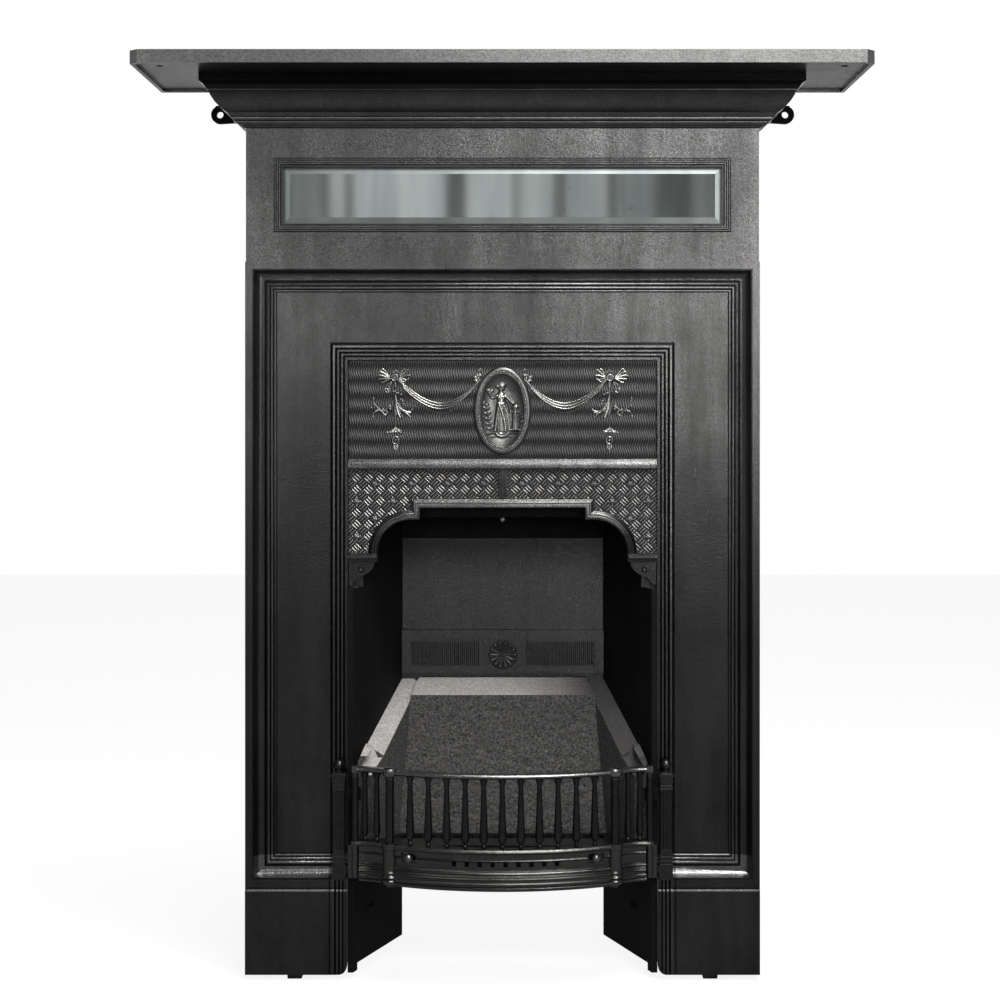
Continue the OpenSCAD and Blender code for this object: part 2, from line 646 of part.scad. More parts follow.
// ---- firebox ----
function along(y, o) = [chk(y) + o, y];
cheek_bolt_y = -46;
bolt_low = brick_low + 21;
bolt_high = cheek_high - 38;
cheek_bolt_z = [bolt_low, (bolt_low + bolt_high) / 2, bolt_high];
flange_low = brick_low - 49;
module cheek() {
  by = back_y;
  difference() {
    union() {
      // lower part with the leg
      translate([0, 0, leg_gap + 10]) linear_extrude(cheek_high - leg_gap - 10)
        polygon([along(front_y, 0), along(front_y, cheek_out), along(by, cheek_out), along(by, 0)]);
      translate([0, 0, leg_gap]) linear_extrude(12)
        polygon([along(front_y, 0), along(front_y, cheek_out), along(front_y + 12, cheek_out),
                 along(front_y + 12, 0)]);
      // upper part behind the hood
      translate([0, 0, cheek_high - 1]) linear_extrude(throat_z - cheek_high + 1)
        polygon([along(panel_back + wall, 0), along(panel_back + wall, cheek_out), along(by, cheek_out),
                 along(by, 0)]);
      // flange to the jamb
      box(chk(cheek_bolt_y - 4) + 2, oh, cheek_bolt_y - 5, cheek_bolt_y + 5, bolt_low - 40, cheek_high - 6);
      // flange round the fire back
      box(cheek_back - 14, cheek_back + 5, by + wall, by + wall + 6, flange_low, throat_z);
      box(cheek_back + cheek_out - 6, cheek_back + cheek_out, by - 1, by + wall + 6, flange_low, throat_z);
    }
    for (z = cheek_bolt_z) translate([oh - 6, cheek_bolt_y, z]) rotate([0, 90, 0]) cylinder(r = 3.1, h = 20);
    translate([chk(-30), -30, 88]) rotate([0, 90, 0]) translate([0, 0, -10]) cylinder(r = 1.6, h = 16);
    // rounded heel of the leg
    translate([0, by + 4, leg_gap]) rotate([0, 90, 0]) translate([0, 0, 100]) cylinder(r = 5, h = 200);
  }
}
module cheek_left() { color("#1f1f20") mirror([1, 0, 0]) cheek(); }
module cheek_right() { color("#1f1f20") cheek(); }
module cheek_bolts() {
  color("#5a5b5e") both() for (z = cheek_bolt_z) translate([0, cheek_bolt_y, z]) rotate([0, 90, 0]) {
    translate([0, 0, oh - 5]) cylinder(r = 3, h = wall + 5);
    translate([0, 0, oh + wall]) cylinder(r = 5.7, h = 5, $fn = 6);
  }
}
module leg_studs() {
  color("#333334") both() translate([chk(-30), -30, 88]) rotate([0, 90, 0]) {
    translate([0, 0, -4.2]) cylinder(r = 3.4, h = 2.4);
    translate([0, 0, -2]) cylinder(r = 1.5, h = 7);
  }
}

module fire_back() {
  color("#262627") union() {
    box(-cheek_back, cheek_back, back_y, back_y + wall, band_top, back_top);
    box(-cheek_back, cheek_back, back_y + 2, back_y + wall, brick_low, band_top + 1);
  }
}

band_low = band_top - band_h;
band_y = back_y - 7;
flute_n = 17;
rosette_z = band_low + 28.5;
module flute_band() {
  x0 = 33;
  x1 = cheek_back - 13;
  fp = (x1 - x0) / flute_n;
  color("#2a2a2b") difference() {
    union() {
      box(-cheek_back, cheek_back, band_y + 3, back_y + 2, band_low, band_top);
      bar_x(2 * cheek_back, [[band_y + 3, band_low + 8], [band_y + 1, band_low + 8], [band_y + 1, band_low + 2],
        [band_y + 5, band_low], [band_y + 5, band_low + 8]]);
      box(-cheek_back, cheek_back, band_y, back_y, band_low + 50, band_top);
      both() box(cheek_back - 12, cheek_back, band_y, back_y, band_low + 4, band_top);
      translate([0, 0, rosette_z]) rod_y(27, band_y, back_y);
    }
    both() for (i = [0:flute_n - 1]) translate([x0 + (i + 0.5) * fp, band_y + 3, band_low + 13])
      cylinder(r = fp * 0.36, h = 34);
    translate([0, 0, rosette_z]) rod_y(rosette_r + 2, band_y - 1, band_y + 2);
    translate([0, 0, rosette_z]) rod_y(2.1, band_y - 1, back_y + 5);
    // sloped top of the ledge
    translate([0, band_y, band_top]) rotate([20, 0, 0]) box(-400, 400, -20, 20, 0, 20);
  }
}

module rosette() {
  color("#3a3a3b") translate([0, band_y + 2, rosette_z]) rotate([90, 0, 0]) difference() {
    union() {
      cylinder(r = rosette_r, h = 1.2);
      for (i = [0:13]) rotate(i * 360 / 14) translate([rosette_r * 0.82, 0, 1]) sphere(r = 3.1);
      for (i = [0:13]) rotate(i * 360 / 14) translate([5, 0, 1.2]) rotate([0, 90, 0])
        cylinder(r1 = 0.8, r2 = 2.6, h = rosette_r * 0.62);
      cylinder(r = 4, h = 4);
      translate([0, 0, -4]) cylinder(r = 2, h = 5);
    }
    // flat underside round the stem
    translate([0, 0, -14]) difference() {
      cylinder(r = 60, h = 14);
      translate([0, 0, -1]) cylinder(r = 2, h = 16);
    }
  }
}

module brick_back() {
  zf = brick_top - 21;
  w = chk(brick_y) - brick_side - 0.5;
  w2 = chk(brick_y - brick_rake) - brick_side - 0.5;
  color("#8b8781") intersection() {
    bar_x(600, [[back_y - 1, brick_low], [back_y - 1, brick_top], [back_y - 5, brick_top], [brick_y, zf],
      [brick_y, zf - 6], [brick_y + 1.5, zf - 7.5], [brick_y - brick_rake, brick_low]]);
    linear_extrude(tall) polygon([[-w2, brick_y - brick_rake], [w2, brick_y - brick_rake],
      [w, brick_y], [chk(back_y) - brick_side - 0.5, back_y], [-chk(back_y) + brick_side + 0.5, back_y],
      [-w, brick_y]]);
  }
}

brick_ye = -49;                   // front end of a side brick's sloping top
module side_brick() {
  z1 = brick_top - 2;
  z2 = brick_top - 80;
  k = (z1 - z2) / (back_y - 1 - brick_ye);
  run = back_y - 1 - brick_ye;
  g = 0.3;
  difference() {
    union() {
      translate([0, 0, brick_low]) linear_extrude(z1 - brick_low)
        polygon([along(back_y - 1, -g), along(brick_ye, -g), along(brick_ye, -brick_side),
                 along(back_y - 1, -brick_side)]);
      intersection() {
        translate([0, 0, brick_low]) linear_extrude(z2 + 6 - brick_low)
          polygon([along(brick_ye, -g), along(front_y + 4, -g - 4), along(front_y + 4, -brick_side + 3),
                   along(brick_ye, -brick_side)]);
        union() {
          box(0, 400, -200, 0, 0, z2 - 14);
          bar_end(z2);
        }
      }
    }
    // top falls to the front
    multmatrix([[1, 0, 0, 0], [0, 1, 0, brick_ye], [0, k, 1, z2], [0, 0, 0, 1]])
      box(0, 400, -1, run + 60, 0, 300);
    // and inwards
    brick_bevel(z2, k, run);
  }
}
// block whose front and sides slope like a hipped roof
module bar_end(z2) {
  xm = chk(front_y + 10) - brick_side / 2 - 2;
  hull() {
    box(xm - 12, xm + 12, front_y - 1, -30, z2 - 30, z2 - 13);
    box(xm - 4, xm + 4, front_y + 12, -30, z2 - 30, z2 + 5);
  }
}
module brick_bevel(z2, k, run) {
  a = atan(splay);
  translate([chk(brick_ye) - 7, brick_ye, z2]) rotate([atan(k), 0, a])
    rotate([0, -38, 0]) box(-80, 0, -60, run * 1.6, 0, 120);
}
module brick_left() { color("#8b8781") mirror([1, 0, 0]) side_brick(); }
module brick_right() { color("#8b8781") side_brick(); }

throat_w = cheek_back + cheek_out;
flap_z = throat_z + wall;
hinge_y = back_y - 6;
hinge_z = flap_z + 5;
module throat_frame() {
  y0 = panel_back + wall + 0.2;
  y1 = back_y + wall;
  color("#1b1b1c") difference() {
    union() {
      difference() {
        box(-throat_w, throat_w, y0, y1, throat_z, throat_z + throat_h);
        box(-throat_w + 6, throat_w - 6, y0 + 6, y1 - 6, throat_z + wall, throat_z + throat_h + 20);
        box(-flap_w / 2 + 10, flap_w / 2 - 10, hinge_y - flap_d + 12, hinge_y - 10, throat_z - 5, throat_z + 20);
      }
      // back wall between the fire back and the throat
      box(-cheek_back, cheek_back, back_y, y1, back_top, throat_z + 1);
      // hinge lugs
      both() box(flap_w / 2 + 4, flap_w / 2 + 12, hinge_y - 5, hinge_y + 5, throat_z + wall - 1, hinge_z + 6);
    }
    translate([-200, hinge_y, hinge_z]) rotate([0, 90, 0]) cylinder(r = pin_r, h = 400);
  }
}

module damper_flap() {
  color("#222223") difference() {
    union() {
      box(-flap_w / 2, flap_w / 2, hinge_y - flap_d, hinge_y - 7, flap_z + 0.4, flap_z + 5.4);
      translate([-flap_w / 2, hinge_y, hinge_z]) rotate([0, 90, 0]) cylinder(r = 6 - 1.6, h = flap_w);
      box(-flap_w / 2, flap_w / 2, hinge_y - 8, hinge_y, hinge_z - 2, hinge_z + 2);
    }
    translate([-flap_w / 2 - 1, hinge_y, hinge_z]) rotate([0, 90, 0])
      cylinder(r = pin_r + pin_gap, h = flap_w + 2);
    translate([0, hinge_y - flap_d + 24, flap_z - 5]) cylinder(r = 2.1, h = 30);
  }
}
module damper_pin() {
  color("#6a6b6e") translate([-flap_w / 2 - 12, hinge_y, hinge_z]) rotate([0, 90, 0])
    cylinder(r = pin_r, h = flap_w + 24);
}
module damper_knob() {
  color("#8d8f92") translate([0, hinge_y - flap_d + 24, 0]) {
    translate([0, 0, flap_z - 9]) cylinder(r = 2, h = 14.4);
    translate([0, 0, flap_z - 13]) sphere(r = 5);
    translate([0, 0, flap_z + 5.4]) cylinder(r = 4, h = 2);
  }
}

ledge_t = 6;
grate_z = brick_low + 0.2;
module grate_ledges() {
  color("#1b1b1c") both() {
    translate([0, 0, brick_low - ledge_t]) linear_extrude(ledge_t)
      polygon([along(back_y - 1, -0.1), along(front_y + 2, -0.1), along(front_y + 2, -brick_side - 14),
               along(-20, -brick_side - 14), along(-20, -brick_side - 4), along(back_y - 1, -brick_side - 4)]);
  }
}
module bottom_grate() {
  y0 = -82;
  y1 = brick_y - brick_rake - 2;
  n = 9;
  color("#1b1b1c") translate([0, 0, grate_z]) intersection() {
    linear_extrude(12) polygon([[-chk(y1) + brick_side + 2, y1], [-chk(y0) + brick_side + 6, y0],
      [chk(y0) - brick_side - 6, y0], [chk(y1) - brick_side - 2, y1]]);
    union() {
      box(-400, 400, y0, y0 + 9, 0, 12);
      box(-400, 400, y1 - 9, y1, 0, 12);
      for (i = [-n:n]) box(i * 18 - 4, i * 18 + 4, y0, y1, 0, 12);
      both() linear_extrude(12) polygon([along(y0, -brick_side), along(y1, -brick_side),
        along(y1, -brick_side - 13), along(y0, -brick_side - 17)]);
    }
  }
}

// ---- grate front ----
// profile points are [outward, height]
module bow(prof) {
  a = bow_a - asin(5 / bow_r);    // ends inside the knuckle
  translate([0, bow_c, 0]) rotate(270 - a) rotate_extrude(angle = 2 * a, $fn = 240)
    polygon([for (p = prof) [bow_r + p[0], p[1]]]);
}
module cove(prof, cut = 0) {
  a = asin(cut / cove_r);         // starts this far from the end
  translate([end_x, cove_c, 0]) rotate(90 + a)
    rotate_extrude(angle = cove_a - a - asin(4 / cove_r), $fn = 160)
      polygon([for (p = prof) [cove_r - p[0], p[1]]]);
}
module whole_bow(prof, cut = 0) { bow(prof); both() cove(prof, cut); }

top_prof = [[-6, bars_top - top_rail_h], [4, bars_top - top_rail_h], [6, bars_top - top_rail_h + 2],
  [6, bars_top - 2.5], [4.5, bars_top - 0.6], [3, bars_top], [-6, bars_top]];
module top_rail() {
  color("#2c2c2d") union() {
    whole_bow(top_prof);
    both() translate([knuckle_x, -knuckle_y, 0.07]) rotate_extrude()
      polygon([[0, bars_top - top_rail_h - 3], [6, bars_top - top_rail_h - 3], [9.4, bars_top - top_rail_h - 1],
        [10.4, bars_top - top_rail_h + 2], [10.4, bars_top - 1], [9, bars_top + 2], [5, bars_top + 3.4],
        [0, bars_top + 4]]);
    both() box(end_x - 4, end_x + 4, -end_y - 6, -end_y + 6, bars_top - top_rail_h, bars_top + 2);
  }
}

bal_top = bars_top - top_rail_h;
bal_h = bal_top - ledge_z;
module baluster(k = 1) {
  h = bal_h;
  rotate_extrude($fn = 32) polygon([[0, 0], [1.8, 0], [3.1, 1.4], [3.3, 3], [3.1, 4.6], [1.9, 6], [2.6, 7],
    [bal_r * 0.86 * k, 10.5], [bal_r * k, 15], [bal_r * 0.97 * k, 20], [bal_r * 0.8 * k, h * 0.46],
    [neck_r + (bal_r * k - neck_r) * 0.25, h * 0.72], [neck_r, h * 0.86], [neck_r + 0.1, h - 9],
    [neck_r + 1, h - 5], [neck_r + 2.4, h - 1.4], [neck_r + 2.4, h],
    [0, h]]);
}
module balusters() {
  n = floor((knuckle_x - 14) / pitch);
  color("#303031") union() {
    for (i = [-n:n]) translate([i * pitch, bow_c - sqrt(bow_r * bow_r - i * i * pitch * pitch), ledge_z])
      baluster();
    both() for (t = [0.38, 0.72]) {
      x = knuckle_x + t * dx;
      u = end_x - x;
      translate([x, cove_c + sqrt(cove_r * cove_r - u * u), ledge_z]) baluster(0.86);
    }
  }
}

post_r = 4.6;
pad_low = ledge_z - 6.1;          // underside of the pads under the posts
pad_top = ledge_z + 1.2;
hook_z = bars_top - 30;
module corner_posts() {
  color("#2c2c2d") both() {
    translate([knuckle_x, -knuckle_y, pad_top]) cylinder(r = corner_r, h = bars_top - top_rail_h - 3 - pad_top);
    union() {
      translate([end_x, -end_y, ledge_z + 0.4]) cylinder(r = post_r, h = bal_h - 0.4);
      // hook that drops into the lug
      box(end_x - 3, end_x + 3, -end_y, -end_y + 11, hook_z, hook_z + 5);
      translate([end_x, -end_y + 11, hook_z - 9]) cylinder(r = 3, h = 14);
    }
    translate([end_x, -end_y, apron_low + 6]) cylinder(r = post_r, h = pad_low - apron_low - 6);
  }
}

ledge_prof = [[-12, ledge_z - 6], [5, ledge_z - 6], [7.4, ledge_z - 4.4], [8, ledge_z - 3], [7.4, ledge_z - 1.6],
  [5.4, ledge_z], [-12, ledge_z]];
module bottom_rail() {
  color("#2c2c2d") union() {
    whole_bow(ledge_prof);
    both() box(end_x - 5, end_x + 5, -end_y - 7, -end_y + 7, pad_low, ledge_z + 0.4);
    both() translate([knuckle_x, -knuckle_y, pad_low]) cylinder(r = 11, h = pad_top - pad_low);
    // ledge behind the bars
    translate([0, 0, ledge_z - 5.6]) linear_extrude(5.2) polygon([
      [-end_x + 3, front_y - 2], [end_x - 3, front_y - 2], [end_x - 3, -end_y + 4],
      [knuckle_x, -knuckle_y + 4], [knuckle_x - 40, -knuckle_y - 6], [-knuckle_x + 40, -knuckle_y - 6],
      [-knuckle_x, -knuckle_y + 4], [-end_x + 3, -end_y + 4]]);
  }
}

az = apron_top;
al = apron_low;
apron_prof = [[-4, al], [2.5, al], [5.4, al + 2], [6, al + 4.6], [4, al + 6.5], [4.4, al + 8.4], [6.6, al + 9],
  [7.4, al + 10.4], [6.6, al + 12], [4.8, al + 12.6], [4.8, al + 14.6], [5.6, al + 15.2], [6.2, al + 16.6],
  [5.6, al + 18], [3.6, al + 18.8], [3, al + 21], [3.8, al + 22], [4.4, al + 23.2], [3.8, al + 24.4],
  [2.2, al + 25.4], [1.2, al + 28], [1.2, az - 11], [2.6, az - 10], [4, az - 9.4], [4.6, az - 8.6],
  [4, az - 7.8], [3.2, az - 7], [3.2, az], [-4, az]];
slot_z = al + 33.6;
slot_n = 4;
slot_mid = slot_pitch / 4;        // the apron's middle slot from the middle
slot_shut = slot_w + 0.6;         // the slide's slots stand this far off when shut
knob_a = asin(knob_x / bow_r);
pocket_z = az - 9.2;
pocket_h = 13;
slide_low = slot_z - 6;
slide_high = slot_z + 12;
function arc_deg(s) = s / bow_r * 180 / PI;

module radial(a) { translate([0, bow_c, 0]) rotate(270 + a) children(); }

module apron() {
  s0 = bow_r - 4;
  color("#2a2a2b") difference() {
    union() {
      whole_bow(apron_prof, 5.8);
      both() translate([knuckle_x, -knuckle_y, 0.07]) rotate_extrude() polygon([[0, al - 1], [8, al - 1],
        [11.4, al + 3], [11.4, al + 7], [9.6, al + 9], [12, al + 12], [9.6, al + 15], [11.2, al + 18],
        [9.4, al + 21], [9.4, az - 4], [10.4, az - 0.5], [0, az - 0.5]]);
      // end flanges against the cheeks
      both() box(end_x - 14, end_x - 5.2, -end_y - 3, front_y - 5, al + 2.3, az - 0.6);
      both() box(end_x - 14, chk(front_y) + 6, front_y - 9.4, front_y, al + 3.1, az - 1.1);
    }
    for (i = [-slot_n:slot_n]) radial(arc_deg(i * slot_pitch + slot_mid))
      box(bow_r - 10, bow_r + 20, -slot_w / 2, slot_w / 2, slot_z - 1.5, slot_z + 5.5);
    for (s = [-1, 1]) radial(s * knob_a) {
      box(bow_r - 1, bow_r + 20, -pocket_w / 2, pocket_w / 2, pocket_z - pocket_h / 2, pocket_z + pocket_h / 2);
      box(bow_r - 10, bow_r + 20, -8, 8, pocket_z - 3, pocket_z + 3);
    }
  }
}

// angle rails that the air slide runs in
module slide_guides() {
  r1 = bow_r - 4.02;
  r0 = r1 - 8;
  color("#1e1e1f") radial(-bow_a * 0.93) rotate_extrude(angle = 2 * bow_a * 0.93, $fn = 240) union() {
    polygon([[r1, slide_high + slide_gap], [r0 + 2, slide_high + slide_gap], [r0 + 2, slide_high - 2],
      [r0, slide_high - 2], [r0, slide_high + slide_gap + 2.4], [r1, slide_high + slide_gap + 2.4]]);
    polygon([[r1, slide_low - slide_gap], [r0 + 2, slide_low - slide_gap], [r0 + 2, slide_low + 2],
      [r0, slide_low + 2], [r0, slide_low - slide_gap - 2.4], [r1, slide_low - slide_gap - 2.4]]);
  }
}

slide_r1 = bow_r - 4 - slide_gap;
slide_r0 = bow_r - 4 - 6 + slide_gap;
module air_slide() {
  aa = bow_a * 0.86;
  color("#1e1e1f") difference() {
    radial(-aa) rotate_extrude(angle = 2 * aa, $fn = 240)
      polygon([[slide_r0, slide_low], [slide_r1, slide_low], [slide_r1, slide_high], [slide_r0, slide_high]]);
    for (i = [-slot_n:slot_n]) radial(arc_deg(i * slot_pitch + slot_mid - slot_shut))
      box(bow_r - 30, bow_r + 20, -slot_w / 2, slot_w / 2, slot_z - 2, slot_z + 6);
    for (s = [-1, 1]) radial(s * knob_a) translate([bow_r - 20, 0, pocket_z]) rotate([0, 90, 0])
      cylinder(r = 2.05, h = 40);
  }
}
module slide_knobs() {
  color("#4a4a4c") for (s = [-1, 1]) radial(s * knob_a) translate([0, 0, pocket_z]) rotate([0, 90, 0]) {
    translate([0, 0, slide_r0]) cylinder(r = 2, h = bow_r + 2 - slide_r0);
    translate([0, 0, bow_r + 0.2 + knob_r * 0.9]) sphere(r = knob_r);
  }
}

module hang_lugs() {
  hx = end_x;
  hy = -end_y + 11;
  color("#232324") both() difference() {
    box(hx - 7, oh - 0.6, hy - 5.6, front_y, hook_z - 16, hook_z - 0.2);
    translate([hx, hy, hook_z - 12]) cylinder(r = 3 + slide_gap, h = 30);
  }
}

put() shelf();
put() cornice();
put() frieze();
put() mirror_glass();
put() mirror_board();
put() mirror_clips();
put() mirror_screws();
put() shelf_bolts();
put() frieze_bolts();
put() wall_lugs();
put() lug_bolts();
put() surround();
put() feet();
put() post_left();
put() post_right();
put() post_balls();
put() swag_panel();
put() medallion();
put() hood();
put() hood_divider();
put() hood_ears();
put() ear_studs();
put() insert_bolts();
put() fire_back();
put() flute_band();
put() rosette();
put() cheek_left();
put() cheek_right();
put() cheek_bolts();
put() leg_studs();
put() brick_back();
put() brick_left();
put() brick_right();
put() throat_frame();
put() damper_flap();
put() damper_pin();
put() damper_knob();
put() grate_ledges();
put() bottom_grate();
put() top_rail();
put() balusters();
put() corner_posts();
put() bottom_rail();
put() apron();
put() slide_guides();
put() air_slide();
put() slide_knobs();
put() hang_lugs();
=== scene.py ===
import bpy
import bmesh
import json
import math
import numpy as np
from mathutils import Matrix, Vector


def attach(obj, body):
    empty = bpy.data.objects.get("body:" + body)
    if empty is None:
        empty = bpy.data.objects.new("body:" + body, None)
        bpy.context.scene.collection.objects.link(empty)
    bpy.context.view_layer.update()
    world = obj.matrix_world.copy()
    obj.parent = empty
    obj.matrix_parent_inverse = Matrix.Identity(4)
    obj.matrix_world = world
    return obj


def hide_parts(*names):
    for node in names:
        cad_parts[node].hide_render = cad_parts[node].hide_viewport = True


# The looks of a cast iron bedroom fireplace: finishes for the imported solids, ornament as meshes, the studio.
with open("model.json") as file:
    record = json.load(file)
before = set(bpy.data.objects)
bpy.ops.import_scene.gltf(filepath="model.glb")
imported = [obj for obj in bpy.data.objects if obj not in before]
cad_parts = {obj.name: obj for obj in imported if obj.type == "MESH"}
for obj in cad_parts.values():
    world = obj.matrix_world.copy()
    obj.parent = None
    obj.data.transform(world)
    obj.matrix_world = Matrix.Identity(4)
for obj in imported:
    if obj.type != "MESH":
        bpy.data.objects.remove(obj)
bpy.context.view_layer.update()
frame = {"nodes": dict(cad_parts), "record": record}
NODES = frame["nodes"]
SCENE = bpy.context.scene
SCENE.view_settings.view_transform = "Standard"
MM = 0.001
rng = np.random.default_rng(7)

# Places on the castings in mm: X from the middle, Y from the wall (the room is at -Y) and Z from the floor.
WALL_Y = 76.5                 # Y of the wall in the frame
OPENING_HALF = 209.6          # half width of the opening that holds the insert
PLATE_Y = -64.0               # front of the swag panel and the hood
MEDALLION_Z = 770.0           # middle of the medallion
ARCH_X = 124.5                # centres and radius of the quarter rounds of the hood's arch
ARCH_Z = 576
ARCH_R = 46
SHOULDER_Z = 622              # the step over the quarter rounds
CROWN_HALF = 112.5            # the square crown between them
CROWN_Z = 638


# ---------------------------------------------------------------- materials
class Mat:
    """A node material in a few calls. Patterns lie in object coordinates: the frame's, in metres."""

    def __init__(self, name, **sockets):
        self.material = bpy.data.materials.new(name)
        self.material.use_nodes = True
        self.tree = self.material.node_tree
        self.bsdf = self.tree.nodes["Principled BSDF"]
        self.place = self.node("TexCoord").outputs["Object"]
        for socket, value in sockets.items():
            self.bsdf.inputs[socket.replace("_", " ")].default_value = value

    def node(self, kind):
        return self.tree.nodes.new("ShaderNode" + kind)

    def link(self, source, socket):
        self.tree.links.new(source, socket)

    def noise(self, scale, detail=4.0, rough=0.55, stretch=(1, 1, 1)):
        """Noise about 0 to 1 with scale bumps to the metre, times stretch along each axis."""
        mapping = self.node("Mapping")
        mapping.inputs["Scale"].default_value = stretch
        n = self.node("TexNoise")
        n.inputs["Scale"].default_value = scale
        n.inputs["Detail"].default_value = detail
        n.inputs["Roughness"].default_value = rough
        self.link(self.place, mapping.inputs[0])
        self.link(mapping.outputs[0], n.inputs["Vector"])
        return n.outputs["Fac"]

    def cells(self, scale):
        """Distance to the nearest of scattered points, scale of them to the metre."""
        n = self.node("TexVoronoi")
        n.inputs["Scale"].default_value = scale
        self.link(self.place, n.inputs["Vector"])
        return n.outputs["Distance"]

    def ramp(self, value, low, high, at_low=0.0, at_high=1.0):
        """Maps low to high onto at_low to at_high and holds these beyond."""
        n = self.node("MapRange")
        for socket, v in enumerate((low, high, at_low, at_high), 1):     # From Min to To Max
            n.inputs[socket].default_value = v
        self.link(value, n.inputs[0])
        return n.outputs[0]

    def mix(self, factor, a, b):
        """Colour a where factor is 0 and b where it is 1; either is a colour or a socket."""
        n = self.node("Mix")
        n.data_type = "RGBA"
        self.link(factor, n.inputs[0])
        for socket, color in ((6, a), (7, b)):      # the node's colour sockets
            if isinstance(color, tuple):
                n.inputs[socket].default_value = color + (1,)
            else:
                self.link(color, n.inputs[socket])
        return n.outputs[2]

    def math(self, operation, a, b):
        """Either of a and b is a number or a socket."""
        n = self.node("Math")
        n.operation = operation
        for socket, v in enumerate((a, b)):
            if isinstance(v, (int, float)):
                n.inputs[socket].default_value = v
            else:
                self.link(v, n.inputs[socket])
        return n.outputs[0]

    def axis(self, name):
        """The frame's X, Y or Z."""
        n = self.node("SeparateXYZ")
        self.link(self.place, n.inputs[0])
        return n.outputs[name]

    def times(self, color, factor):
        n = self.node("VectorMath")
        n.operation = "SCALE"
        self.link(color, n.inputs[0])
        self.link(factor, n.inputs["Scale"])
        return n.outputs[0]

    def along(self, color, axis, start, end, at_start, at_end):
        """Scales color along an axis, by at_start before start and by at_end after end, in metres."""
        return self.times(color, self.ramp(self.axis(axis), start, end, at_start, at_end))

    def inset(self, half, low, high):
        """Metres inwards from the edges of a rectangle, which is given by its half width and its Z, in mm."""
        t = self.math("SUBTRACT", half * MM, self.math("ABSOLUTE", self.axis("X"), 0))
        t = self.math("MINIMUM", t, self.math("SUBTRACT", high * MM, self.axis("Z")))
        if low is not None:
            t = self.math("MINIMUM", t, self.math("SUBTRACT", self.axis("Z"), low * MM))
        return t

    def reeds(self, half, low, high, stops):
        """A factor that changes across a mitred frame: stops are (mm inwards from its outer edge, factor)."""
        first, last = -1, 31        # mm that the colour ramp spans
        most = 2                    # a colour ramp holds 1 at most, so it holds the factors over this
        n = self.node("ValToRGB")
        self.link(self.ramp(self.inset(half, low, high), first * MM, last * MM), n.inputs[0])
        marks = n.color_ramp.elements
        for k, (mm, factor) in enumerate(stops):
            place = (mm - first) / (last - first)
            mark = marks[k] if k < 2 else marks.new(place)      # a new ramp has two marks
            mark.position = place
            mark.color = (factor / most,) * 3 + (1,)
        return self.math("MULTIPLY", n.outputs[0], most)

    def attribute(self, name):
        n = self.node("Attribute")
        n.attribute_name = name
        return n.outputs["Fac"]

    def color(self, value):
        self.link(value, self.bsdf.inputs["Base Color"])

    def rough(self, value):
        self.link(value, self.bsdf.inputs["Roughness"])

    def bump(self, height, distance, strength, before=None):
        """Bumps by height, distance metres deep, on top of the bumps before."""
        n = self.node("Bump")
        n.inputs["Distance"].default_value = distance
        n.inputs["Strength"].default_value = strength
        self.link(height, n.inputs["Height"])
        if before is not None:
            self.link(before, n.inputs["Normal"])
        self.link(n.outputs[0], self.bsdf.inputs["Normal"])
        return n.outputs[0]


def shade(tone, factor):
    return tuple(v * factor for v in tone)


def iron(name, tone, rough, metal, spec=0.3, wear_and_sheen=0.0, streak=0.25, grain=1.0,
         darkening=None, frame_shading=(), bands=()):
    """Graphite polished cast iron: sandy cast skin, brushed streaks and a blotchy gloss.

    streak is how far the tone varies and grain how coarse the skin is. darkening is what Mat.along takes,
    frame_shading what Mat.reeds takes, and a band is (half width, lowest, highest, factor), in mm; the
    materials below use these mostly for painted shade and painted highlight. Where wear_and_sheen isn't 0, the
    mesh has an
    attribute high: 0 in the grooves, which are painted dark, a painted shade and in part dirt, and 1 on the
    crests, which are polished and painted bright, a painted highlight in part.
    """
    m = Mat(name, Metallic=metal, Specular_IOR_Level=spec)
    blotch = m.noise(7, 5, 0.6)
    brush = m.noise(26, 4, 0.6, (1.6, 1.6, 0.16))
    cast = m.noise(240, 4, 0.6)
    sand = m.noise(560, 3, 0.6)
    patch = m.math("ADD", m.math("MULTIPLY", blotch, 0.55), m.math("MULTIPLY", brush, 0.45))
    c = m.mix(m.ramp(patch, 0.34, 0.66), shade(tone, 1 - streak), shade(tone, 1 + streak))
    c = m.mix(m.ramp(cast, 0.58, 0.78, 0, 0.5), c, shade(tone, 0.45))
    c = m.times(c, m.ramp(sand, 0.36, 0.64, 0.7, 1.3))
    # Mostly painted shade and painted highlight: darker along an axis, across the frame mouldings and in
    # bands, as each material below gives them.
    if darkening is not None:
        c = m.along(c, *darkening)
    for mitred in frame_shading:
        c = m.times(c, m.reeds(*mitred))
    for half, low, high, factor in bands:
        c = m.times(c, m.ramp(m.inset(half, low, high), 0, 0.5 * MM, 1, factor))
    r = m.ramp(patch, 0.3, 0.7, rough + 0.06, rough - 0.05)
    if wear_and_sheen:
        # The grooves painted dark and the crests painted bright: painted shade and painted highlight, in part
        # dirt and polish.
        crest = m.attribute("high")
        c = m.mix(m.ramp(crest, 0.15, 0.85), shade(tone, 0.1), c)
        c = m.mix(m.ramp(crest, 0.72, 1.0, 0, wear_and_sheen), c, shade(tone, 1.9))
        r = m.math("SUBTRACT", r, m.ramp(crest, 0.5, 1.0, -0.1, 0.1))
    m.color(c)
    m.rough(r)
    skin = m.bump(cast, 0.0006 * grain, 0.35)
    m.bump(sand, 0.0004 * grain, 0.5, skin)
    return m.material


